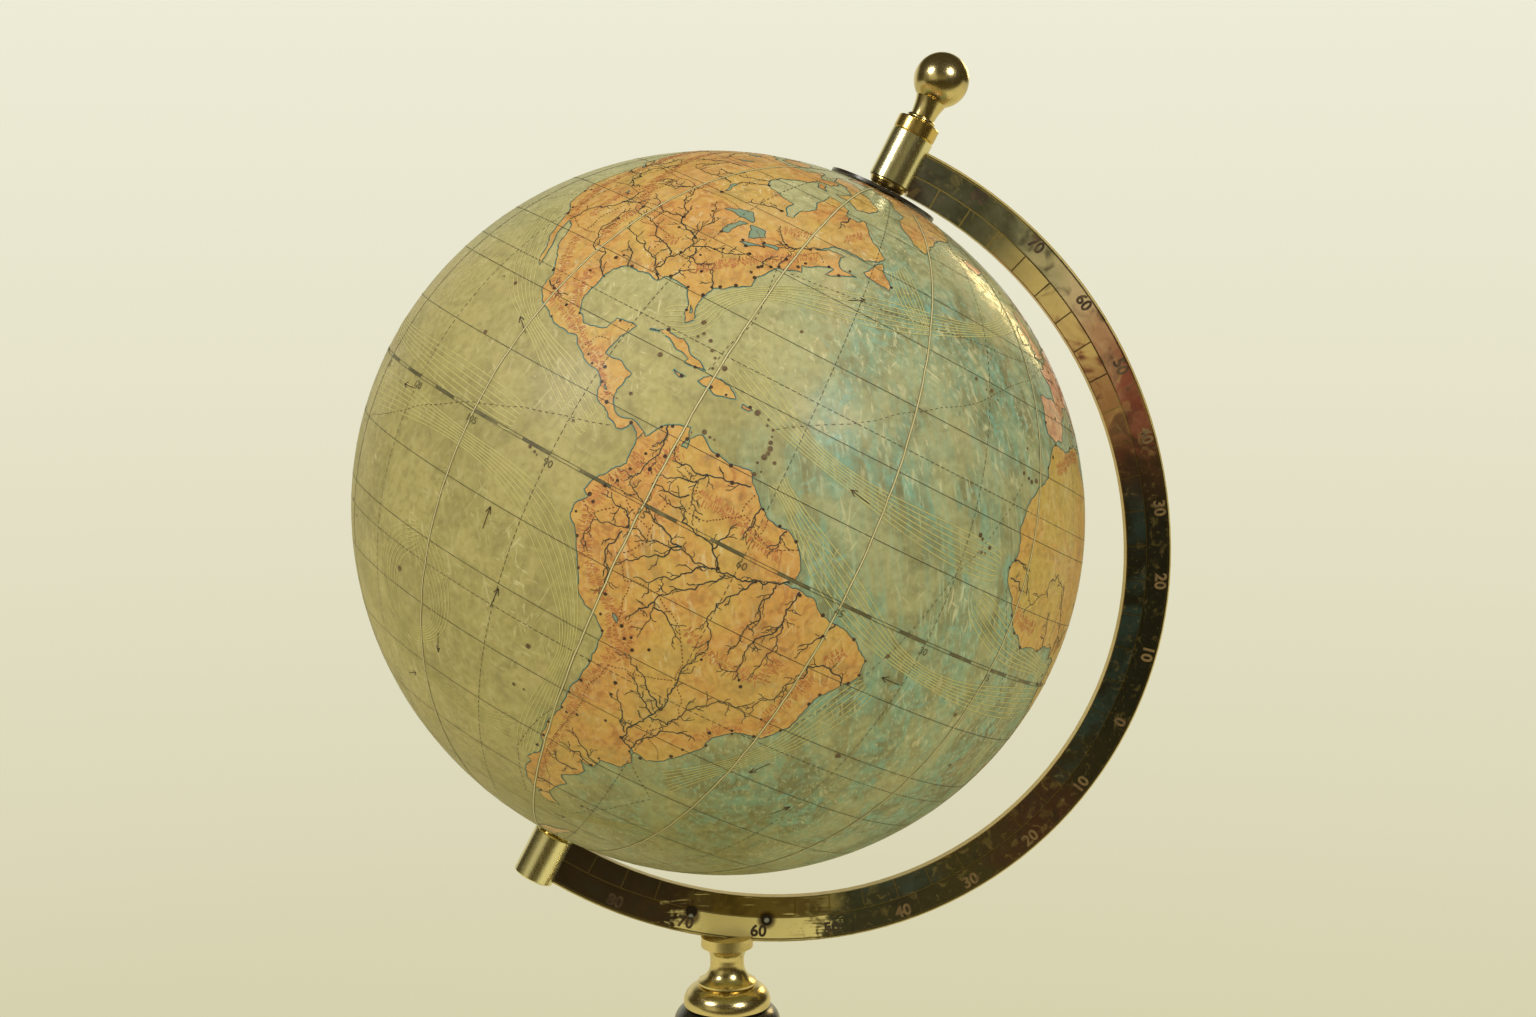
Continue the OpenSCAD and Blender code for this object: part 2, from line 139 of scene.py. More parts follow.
class Level:
    """A number that varies over a surface, on which Python's operators add Math nodes."""

    def __init__(self, shader: "Shader", socket: NodeSocket) -> None:
        """Wraps a socket of a shader."""
        self.shader = shader
        self.socket = socket

    def _math(self, operation: str, first: object, second: object = None) -> "Level":
        """Adds one Math node.

        Args:
            operation: The node's operation.
            first: A Level or a number.
            second: A Level or a number, where the operation takes one.

        Returns:
            The node's result.
        """
        values = {i: v for i, v in enumerate((first, second)) if v is not None}
        node = self.shader.add("ShaderNodeMath", {"operation": operation}, values)
        return self.shader.level(node.outputs[0])

    def __add__(self, other: object) -> "Level":
        """Sum."""
        return self._math("ADD", self, other)

    __radd__ = __add__

    def __sub__(self, other: object) -> "Level":
        """Difference."""
        return self._math("SUBTRACT", self, other)

    def __rsub__(self, other: object) -> "Level":
        """Difference, the other way round."""
        return self._math("SUBTRACT", other, self)

    def __mul__(self, other: object) -> "Level":
        """Product."""
        return self._math("MULTIPLY", self, other)

    __rmul__ = __mul__

    def __truediv__(self, other: object) -> "Level":
        """Quotient."""
        return self._math("DIVIDE", self, other)

    def __rtruediv__(self, other: object) -> "Level":
        """Quotient, the other way round."""
        return self._math("DIVIDE", other, self)

    def __abs__(self) -> "Level":
        """Size without sign."""
        return self._math("ABSOLUTE", self)

    def __lt__(self, other: object) -> "Level":
        """1 where it is less."""
        return self._math("LESS_THAN", self, other)

    def __gt__(self, other: object) -> "Level":
        """1 where it is more."""
        return self._math("GREATER_THAN", self, other)

    def most(self, other: object) -> "Level":
        """The larger of two."""
        return self._math("MAXIMUM", self, other)

    def least(self, other: object) -> "Level":
        """The smaller of two."""
        return self._math("MINIMUM", self, other)

    def root(self) -> "Level":
        """Square root."""
        return self._math("SQRT", self)

    def angle_from(self, other: object) -> "Level":
        """Angle in radians of the point (other, self)."""
        return self._math("ARCTAN2", self, other)

    def sway(self, size: float) -> "Level":
        """A noise shifted to swing about 0, and scaled."""
        return (self - 0.5) * size

    def rise(self, low: float, high: float) -> "Level":
        """Smooth step from 0 at low to 1 at high; low may be the larger.

        Args:
            low: Where it is 0.
            high: Where it is 1.

        Returns:
            A Level from 0 to 1.
        """
        flip = low > high
        span = {1: min(low, high), 2: max(low, high), 3: 1.0 if flip else 0.0, 4: 0.0 if flip else 1.0}
        node = self.shader.add("ShaderNodeMapRange", {"interpolation_type": "SMOOTHSTEP"}, {0: self, **span})
        return self.shader.level(node.outputs[0])


def distance(first: Level, *others: Level) -> Level:
    """Works out the length of a diagonal.

    Args:
        first: One side.
        others: The other sides.

    Returns:
        The length.
    """
    return sum((side * side for side in others), first * first).root()


class Shader:
    """A material's node tree, and the one method that adds nodes to it."""

    def __init__(self, name: str, world: World | None = None) -> None:
        """Starts an empty material, or the empty tree of a world.

        Args:
            name: The material's name.
            world: The world, where it isn't a material.
        """
        self.material = world or bpy.data.materials.new(name)
        self.material.use_nodes = True
        self.tree = self.material.node_tree
        self.tree.nodes.clear()

    def add(self, kind: str, settings: dict | None = None, values: dict | None = None) -> Node:
        """Adds a node.

        Args:
            kind: The node's type.
            settings: Properties to set first; "stops" are a ramp's (place, colour) pairs.
            values: Socket names or numbers, each with a Level, a socket or a plain value.

        Returns:
            The new node.
        """
        node = self.tree.nodes.new(kind)
        for key, value in (settings or {}).items():
            if key == "stops":
                ramp = node.color_ramp
                while len(ramp.elements) < len(value):
                    ramp.elements.new(0.5)
                for element, (place, colour) in zip(ramp.elements, value):
                    element.position, element.color = place, tinted(colour)
            else:
                setattr(node, key, value)
        for key, value in (values or {}).items():
            if isinstance(value, Level):
                value = value.socket
            if isinstance(value, NodeSocket):
                self.tree.links.new(value, node.inputs[key])
            else:
                node.inputs[key].default_value = value
        return node

    def level(self, socket: NodeSocket) -> Level:
        """Wraps a socket for maths."""
        return Level(self, socket)

    def moved(self, operation: str, point: NodeSocket, by: tuple) -> NodeSocket:
        """Adds a constant vector to a point, or multiplies it by one.

        Args:
            operation: ADD or MULTIPLY.
            point: A vector socket.
            by: The constant vector.

        Returns:
            A vector socket.
        """
        return self.add("ShaderNodeVectorMath", {"operation": operation}, {0: point, 1: by}).outputs[0]

    def place(self, scale: tuple = (1, 1, 1), turn: tuple = (0, 0, 0),
              shift: tuple = (0, 0, 0)) -> NodeSocket:
        """Gives the point of the surface, centred, turned and scaled.

        Args:
            scale: Scale along each axis, after the turn.
            turn: Turn about X, Y and Z in degrees.
            shift: What is added at the start, in metres.

        Returns:
            A vector socket.
        """
        point = self.add("ShaderNodeTexCoord").outputs["Object"]
        if shift != (0, 0, 0):
            point = self.moved("ADD", point, shift)
        if turn != (0, 0, 0):
            bend = tuple(math.radians(a) for a in turn)
            point = self.add("ShaderNodeMapping", None, {"Vector": point, "Rotation": bend}).outputs[0]
        if scale != (1, 1, 1):
            point = self.moved("MULTIPLY", point, scale)
        return point

    def parts(self, point: NodeSocket) -> tuple[Level, Level, Level]:
        """Splits a point.

        Args:
            point: A vector socket.

        Returns:
            Its X, Y and Z.
        """
        node = self.add("ShaderNodeSeparateXYZ", None, {0: point})
        return tuple(self.level(output) for output in node.outputs)

    def noise(self, point: NodeSocket, scale: float, detail: float = 3, warp: float = 0) -> Level:
        """Noise from 0 to 1.

        Args:
            point: Where it is read.
            scale: Lumps per unit.
            detail: Number of finer layers.
            warp: Distortion.

        Returns:
            A Level.
        """
        values = {"Vector": point, "Scale": scale, "Detail": detail, "Distortion": warp}
        return self.level(self.add("ShaderNodeTexNoise", None, values).outputs[0])

    def blend(self, share: object, low: object, high: object) -> NodeSocket:
        """Blends two colours.

        Args:
            share: 0 for the first, 1 for the second.
            low: First screen colour or socket.
            high: Second screen colour or socket.

        Returns:
            A colour socket.
        """
        values = {0: share, 6: tinted(low), 7: tinted(high)}
        return self.add("ShaderNodeMix", {"data_type": "RGBA"}, values).outputs[2]

    def ramp(self, share: Level, stops: list) -> NodeSocket:
        """Reads a colour ramp.

        Args:
            share: Where along it.
            stops: (place, colour) pairs, with screen colours of three numbers or plain ones of four.

        Returns:
            A colour socket.
        """
        return self.add("ShaderNodeValToRGB", {"stops": stops}, {0: share}).outputs[0]

    def bump(self, height: Level, strength: float, depth: float) -> NodeSocket:
        """Bends the normal by a height.

        Args:
            height: The height, 0 to 1.
            strength: Share of the effect.
            depth: Height in metres for 1.

        Returns:
            A normal socket.
        """
        values = {"Height": height, "Strength": strength, "Distance": depth}
        return self.add("ShaderNodeBump", None, values).outputs[0]

    def finish(self, values: dict) -> Material:
        """Closes the tree with the surface shader.

        Args:
            values: Values and links for its sockets.

        Returns:
            The material.
        """
        surface = self.add("ShaderNodeBsdfPrincipled", None, values)
        self.add("ShaderNodeOutputMaterial", None, {"Surface": surface.outputs[0]})
        return self.material


@dataclass(frozen=True)
class Brass:
    """Lacquered brass with handling marks, dull patches and fine lathe lines."""
    name: str
    bright: tuple = (220, 203, 148)
    dull: tuple = (158, 138, 80)
    rough: float = 0.21
    worn: float = 0.35

    def material(self) -> Material:
        """Builds the finish.

        Returns:
            The material.
        """
        s = Shader(self.name)
        point = s.place()
        cloud = s.noise(point, 90, 4, 0.6)
        fleck = s.noise(point, 900, 3)
        hair = s.noise(s.place((5200, 5200, 260)), 1, 2)
        patch = (cloud.rise(0.5, 0.72) * self.worn + fleck.rise(0.62, 0.8) * 0.35 * self.worn).least(1)
        colour = s.blend(patch, self.bright, self.dull)
        rough = self.rough + patch * 0.2 + hair.rise(0.45, 0.8) * 0.1
        return s.finish({"Base Color": colour, "Metallic": 1.0, "Roughness": rough,
                         "Normal": s.bump(hair * 0.5 + cloud * 0.5, 0.05, 0.00004)})


@dataclass(frozen=True)
class Iron:
    """Plain dark iron, faintly browned."""
    name: str
    bright: tuple = (118, 112, 102)
    dull: tuple = (74, 58, 44)

    def material(self) -> Material:
        """Builds the finish.

        Returns:
            The material.
        """
        s = Shader(self.name)
        cloud = s.noise(s.place(), 260, 5, 0.4)
        colour = s.blend(cloud.rise(0.42, 0.66), self.bright, self.dull)
        return s.finish({"Base Color": colour, "Metallic": 0.9, "Roughness": 0.3 + cloud * 0.3,
                         "Normal": s.bump(cloud, 0.3, 0.0001)})


@dataclass(frozen=True)
class RivetIron:
    """Blackened iron of the two rivets, with a painted bluish highlight in the middle of each face."""
    name: str
    dark: tuple = (40, 30, 18)
    rubbed: tuple = (176, 178, 174)

    def material(self) -> Material:
        """Builds the finish.

        Returns:
            The material.
        """
        s = Shader(self.name)
        x, _, z = s.parts(s.place(shift=FROM_GLOBE))
        # Painted highlight: a pale bluish spot in the middle of each rivet's face
        rub_and_highlight = sum(distance(x - across * MM, z - up * MM).rise(0.0007, 0.0004) for across, up in RIVETS)
        cloud = s.noise(s.place(), 1400, 3)
        colour = s.blend(rub_and_highlight * (0.5 + cloud * 0.5), self.dark, self.rubbed)
        return s.finish({"Base Color": colour, "Metallic": 0.5, "Roughness": 0.3 + cloud * 0.2,
                         "Normal": s.bump(cloud, 0.2, 0.0001)})


@dataclass(frozen=True)
class EbonisedWood:
    """Turned pearwood stained black and waxed, with pores and turning lines."""
    name: str
    black: tuple = (19, 18, 10)
    brown: tuple = (46, 36, 22)

    def material(self) -> Material:
        """Builds the finish.

        Returns:
            The material.
        """
        s = Shader(self.name)
        grain = s.noise(s.place((900, 900, 60)), 1, 5, 0.5)
        pores = s.noise(s.place((2600, 2600, 130)), 1, 2)
        rings = s.noise(s.place((40, 40, 2200)), 1, 2)
        worn = s.noise(s.place(), 60, 4).rise(0.55, 0.8)
        colour = s.blend((grain.rise(0.5, 0.75) * 0.6 + worn * 0.4).least(1), self.black, self.brown)
        height = rings * 0.4 + grain * 0.3 - pores.rise(0.62, 0.72) * 0.5
        return s.finish({"Base Color": colour, "Roughness": 0.22 + worn * 0.2 + grain * 0.12,
                         "Coat Weight": 0.5, "Coat Roughness": 0.14, "Specular IOR Level": 0.5,
                         "Normal": s.bump(height, 0.25, 0.0002)})


@dataclass(frozen=True)
class Plain:
    """A mat finish of two blended tones: baize, board, plaster, core wood or dark lacquer."""
    name: str
    light: tuple
    dark: tuple
    grain: float
    stretch: tuple = (1, 1, 1)
    rough: float = 0.85
    depth: float = 0.0003
    sheen: float = 0.0
    coat: float = 0.0

    def material(self) -> Material:
        """Builds the finish.

        Returns:
            The material.
        """
        s = Shader(self.name)
        fibre = s.noise(s.place(self.stretch), self.grain, 5, 0.3)
        cloud = s.noise(s.place(), self.grain * 0.12, 3)
        share = (fibre.rise(0.35, 0.68) * 0.7 + cloud.rise(0.4, 0.7) * 0.3).least(1)
        return s.finish({"Base Color": s.blend(share, self.light, self.dark),
                         "Roughness": self.rough - fibre * 0.1, "Sheen Weight": self.sheen,
                         "Coat Weight": self.coat, "Coat Roughness": 0.2,
                         "Normal": s.bump(fibre, 0.4, self.depth)})


class Zone(Enum):
    """Stretches of the half meridian's front: angle round its middle circle, tarnish, share of bare metal."""
    BARREL = (78, (66, 42, 26), 0.3)
    GREYISH = (73, (92, 90, 70), 0.3)
    OLIVE = (64, (72, 72, 46), 0.4)
    GREEN = (55, (110, 108, 78), 0.3)
    STRAW = (49, (166, 156, 112), 0.2)
    CREAM = (43, (196, 176, 132), 0.2)
    PINK = (36, (176, 136, 98), 0.2)
    TAN = (30, (152, 104, 74), 0.25)
    ROSE = (23, (120, 66, 46), 0.3)
    SPOTTED = (17, (76, 52, 30), 0.5)
    DARK = (9, (44, 40, 24), 0.6)
    DEEP = (-22, (42, 42, 26), 0.6)
    OLIVE_DARK = (-36, (58, 52, 28), 0.5)
    RUSSET = (-46, (78, 48, 28), 0.4)
    MOSS = (-58, (72, 64, 32), 0.4)
    BROWN = (-70, (62, 54, 24), 0.3)
    LOW = (-84, (58, 58, 34), 0.35)
    POLISHED = (-93, (224, 204, 128), 1.0)
    BRUSHED = (-102, (208, 186, 108), 1.0)
    TAIL = (-109, (70, 50, 12), 0.25)
    END = (-118, (52, 34, 6), 0.15)

    @staticmethod
    def place(turn: object) -> object:
        """Place on the ramp of an angle, from -150 to 150 degrees."""
        return (turn + 150) / 300

    def stop(self, value: tuple) -> tuple:
        """The zone's place on the ramp, with a value for it."""
        return self.place(self.value[0]), value


@dataclass(frozen=True)
class Tarnish:
    """The half meridian's old lacquer: dark, red and straw-coloured stretches, with a polished patch, and a
    painted glint along the outer edge.
    """
    name: str
    gold: tuple = (190, 166, 92)
    soot: tuple = (44, 40, 24)
    red: tuple = (132, 60, 42)
    yellow: tuple = (204, 180, 106)
    sky: tuple = (62, 84, 78)
    # Colour of the polished patch, and of the painted glint along the outer edge
    shine: tuple = (238, 222, 150)
    halo: tuple = (84, 58, 26)

    def outwards(self, x: Level, z: Level, turn: Level) -> Level:
        """Distance outwards from the band's centreline.

        Args:
            x: Place beside the middle circle's centre, in metres.
            z: Place above it.
            turn: Angle round it, in degrees.

        Returns:
            The distance in metres.
        """
        def away(join: float, radius: float) -> Level:
            """Distance past one of the circles, which touches the middle one at a join."""
            centre = ray(math.radians(join)) * (BAND_MID_R - radius) * MM
            return distance(x - centre.x, z - centre.y) - radius * MM
        join_low = BAND_JOIN - BAND_TURN
        middle = away(0, BAND_MID_R)
        upper, lower = away(BAND_JOIN, BAND_END_R), away(join_low, BAND_END_R)
        return middle + (turn > BAND_JOIN) * (upper - middle) + (turn < join_low) * (lower - middle)

    def stained(self, s: Shader, film: NodeSocket, x: Level, z: Level) -> NodeSocket:
        """Adds the brown stains round the two rivets.

        Args:
            s: The shader it is for.
            film: The colour so far.
            x: Place beside the middle circle's centre, in metres.
            z: Place above it.

        Returns:
            The colour with the stains.
        """
        for across, up in RIVETS:
            away = distance(x - (across - BAND_MID[0]) * MM, z - (up - BAND_MID[1]) * MM)
            film = s.blend(away.rise(0.0026, 0.0015) * 0.85, film, self.halo)
        return film

    def material(self) -> Material:
        """Builds the finish.

        Returns:
            The material.
        """
        s = Shader(self.name)
        centre = (GLOBE_CENTRE + Vector((BAND_MID[0], 0, BAND_MID[1]))) * MM
        x, y, z = s.parts(s.place(shift=tuple(-centre)))
        turn = z.angle_from(x) * (180 / math.pi)
        out = self.outwards(x, z, turn)
        smear = s.noise(s.place((60, 60, 60)), 1, 4, 1.2)
        cloud = s.noise(s.place(), 130, 5, 1.5)
        fine = s.noise(s.place(), 420, 5, 0.8)
        speck = s.noise(s.place(), 1200, 4, 0.5)
        brush = s.noise(s.place((120, 120, 1500)), 1, 4, 0.3)
        along = Zone.place(turn + smear.sway(26) + fine.sway(6))
        zones = sorted(Zone, key=lambda zone: zone.value[0])
        film = s.ramp(along, [zone.stop(zone.value[1]) for zone in zones])
        bare = s.level(s.ramp(along, [zone.stop((zone.value[2],) * 3 + (1,)) for zone in zones]))
        inner = out.rise(-0.0004, -0.0007)
        upper = turn.rise(18, 30) * turn.rise(62, 50)
        film = s.blend(inner * upper * 0.75, film, self.yellow)
        film = s.blend(inner * upper * cloud.rise(0.42, 0.68) * turn.rise(50, 34) * 0.9, film, self.red)
        film = s.blend(turn.rise(20, 28) * turn.rise(36, 30) * cloud.rise(0.6, 0.45) * 0.6, film, self.red)
        side = turn.rise(16, 4) * turn.rise(-50, -30) + turn.rise(-84, -79) * turn.rise(-62, -72)
        film = s.blend(inner * side * smear.rise(0.4, 0.6) * 0.7, film, self.sky)
        film = s.blend(cloud.rise(0.54, 0.72) * (1.1 - bare) * 0.8, film, self.soot)
        grit = (fine.rise(0.55, 0.7) * 0.2 + speck.rise(0.62, 0.76) * 0.2) * (1 - turn.rise(-100, -112))
        film = s.blend(grit.least(1), film, self.gold)
        ragged = turn + brush.sway(12) + fine.sway(16)
        patch = ragged.rise(-85, -89) * ragged.rise(-110, -106)
        worn = s.blend(smear.rise(0.45, 0.6), (92, 74, 30), (136, 112, 54))
        film = s.blend(patch * inner * 0.85, film, worn)
        patch = patch * (1 - inner * (1 - brush.rise(0.6, 0.68) * 0.8))
        film = self.stained(s, s.blend(patch * 0.95, film, self.shine), x, z)
        depth = y + BAND_HALF * MM
        groove = depth.rise(0.00003, 0.00008) * depth.rise(0.0003, 0.0002)
        dark_line = (turn.rise(24, 32) * turn.rise(58, 52)).most(patch)
        line = s.blend(dark_line, self.gold, (72, 54, 28))
        seen = turn.rise(18, 26).most(patch) * 0.5 + 0.25
        film = s.blend(groove * seen, film, line)
        # Painted glint: a pale strip along the outer edge of the front, stronger on the upper part
        edge_glint = out.rise(0.00472, 0.0049)
        film = s.blend(edge_glint * (0.35 + turn.rise(0, 24) * 0.6), film, self.shine)
        wall = (abs(y) - (BAND_HALF - 0.05) * MM).rise(0.00002, -0.00004) * (1 - groove)
        colour = s.blend(wall * 0.85, film, (216, 188, 104))
        metal = (bare * (1 - patch * 0.7) + wall + groove * 0.3).least(1) * (1 - edge_glint * 0.5)
        rough = 0.24 + cloud * 0.16 + speck.rise(0.5, 0.8) * 0.12
        return s.finish({"Base Color": colour, "Metallic": metal, "Roughness": rough, "Coat Weight": 0.25,
                         "Coat Roughness": 0.12, "Normal": s.bump(speck * 0.3 + cloud * 0.7, 0.12, 0.0001)})


class Layer(Enum):
    """Depths of the printed layers under the globe's surface, in millimetres."""
    SKIN = 0.14
    SHORE = 0.12
    LAND = 0.10
    SHADE = 0.085
    WATER = 0.075
    LINE = 0.06
    SEAM = 0.05
    MARK = 0.04


@dataclass(frozen=True)
class Ball:
    """The globe's surface: where a longitude and latitude lie in the shared frame."""
    centre: Vector = field(default_factory=lambda: GLOBE_CENTRE * MM)
    tilt: float = math.radians(AXIS_TILT)

    def turned(self) -> Matrix:
        """Turn from the globe's own axes to the shared frame."""
        return Matrix.Rotation(self.tilt, 4, "Y")

    def spot(self, lon: float, lat: float, layer: Layer) -> Vector:
        """Places a point of the map.

        Args:
            lon: Degrees east of Greenwich.
            lat: Degrees north.
            layer: Its printed layer.

        Returns:
            The point in metres.
        """
        around, up = math.radians(lon - FACING_WEST), math.radians(lat)
        wide, tall = GLOBE_R - layer.value, GLOBE_POLE_R - layer.value
        level = wide * math.cos(up)
        own = Vector((level * math.cos(around), level * math.sin(around), tall * math.sin(up)))
        return self.centre + self.turned() @ (own * MM)

    def outward(self, spot: Vector) -> Vector:
        """Direction away from the globe's centre."""
        return (spot - self.centre).normalized()

    def face_out(self, sheet: BMesh) -> None:
        """Turns the faces of a sheet on the globe outwards."""
        sheet.normal_update()
        inward = [f for f in sheet.faces if f.normal.dot(f.calc_center_median() - self.centre) < 0]
        bmesh.ops.reverse_faces(sheet, faces=inward)


@dataclass(frozen=True)
class Stroke:
    """A printed line: its points in degrees and its width in millimetres."""
    points: tuple
    width: float = 0.16


def pairs(text: str) -> list[tuple[float, ...]]:
    """Reads listed points.

    Args:
        text: Longitude and latitude pairs or other groups, with commas between them.

    Returns:
        The groups as numbers.
    """
    return [tuple(float(n) for n in pair.split()) for pair in text.split(",")]


def courses(text: str) -> list[list[tuple[float, float]]]:
    """Reads listed courses.

    Args:
        text: Courses of pairs, with semicolons between the courses.

    Returns:
        Each course's pairs.
    """
    return [pairs(course) for course in text.split(";")]


def roughened(points: list, chance: random.Random, step: float, share: float, closed: bool = True) -> list:
    """Breaks a given line into shorter ones with small bays and capes.

    Args:
        points: Its points in degrees.
        chance: Seeded random source.
        step: Pieces longer than this are halved, in degrees.
        share: How far a middle point moves, as a share of its piece.
        closed: Whether the last point joins the first.

    Returns:
        The finer line.
    """
    line = list(points) + ([points[0]] if closed else [])
    while True:
        finer, split = [line[0]], False
        for (x0, y0), (x1, y1) in zip(line, line[1:]):
            flat = math.cos(math.radians(min(CAP_LAT, abs(y0 + y1) / 2)))
            length = math.hypot((x1 - x0) * flat, y1 - y0)
            if length > step:
                push = chance.uniform(-share, share) * length
                across = ((y0 - y1) / length * push / flat, (x1 - x0) * flat / length * push)
                finer.append(((x0 + x1) / 2 + across[0], (y0 + y1) / 2 + across[1]))
                split = True
            finer.append((x1, y1))
        line = finer
        if not split:
            return line[:-1] if closed else line


def densified(points: list, step: float = 1.5) -> list:
    """Adds points so that no piece of a line is longer than step degrees.

    Args:
        points: Its points in degrees.
        step: Longest piece.

    Returns:
        The line with more points.
    """
    line = [points[0]]
    for (x0, y0), (x1, y1) in zip(points, points[1:]):
        count = max(1, math.ceil(math.hypot(x1 - x0, y1 - y0) / step))
        line += [(x0 + (x1 - x0) * i / count, y0 + (y1 - y0) * i / count) for i in range(1, count + 1)]
    return line


def dashed(points: list, step: float) -> list:
    """Breaks a line into dashes with gaps as long.

    Args:
        points: Its points in degrees.
        step: Longest dash.

    Returns:
        The two ends of each dash.
    """
    line = densified(points, step)
    return list(zip(line, line[1:]))[::2]


def facing(away: Vector) -> Matrix:
    """Finds the turn that brings Z to a direction.

    Args:
        away: The direction.

    Returns:
        A 4 by 4 turn.
    """
    return away.to_track_quat("Z", "Y").to_matrix().to_4x4()


class Country(Enum):
    """Printed colours of the lands: two tones, and the shade of the relief."""
    ORANGE = ((198, 161, 82), (201, 149, 76), (174, 112, 56))
    OCHRE = ((184, 156, 72), (194, 150, 72), (164, 126, 56))
    ROSE = ((214, 150, 120), (206, 160, 118), (176, 116, 90))
    STRAW = ((212, 196, 124), (200, 184, 110), (170, 146, 84))
    SAND = ((214, 178, 130), (206, 168, 116), (176, 136, 92))


@dataclass(frozen=True)
class Land:
    """A land or island: its name, printed colour and listed coast."""
    name: str
    colour: Country
    coast: str


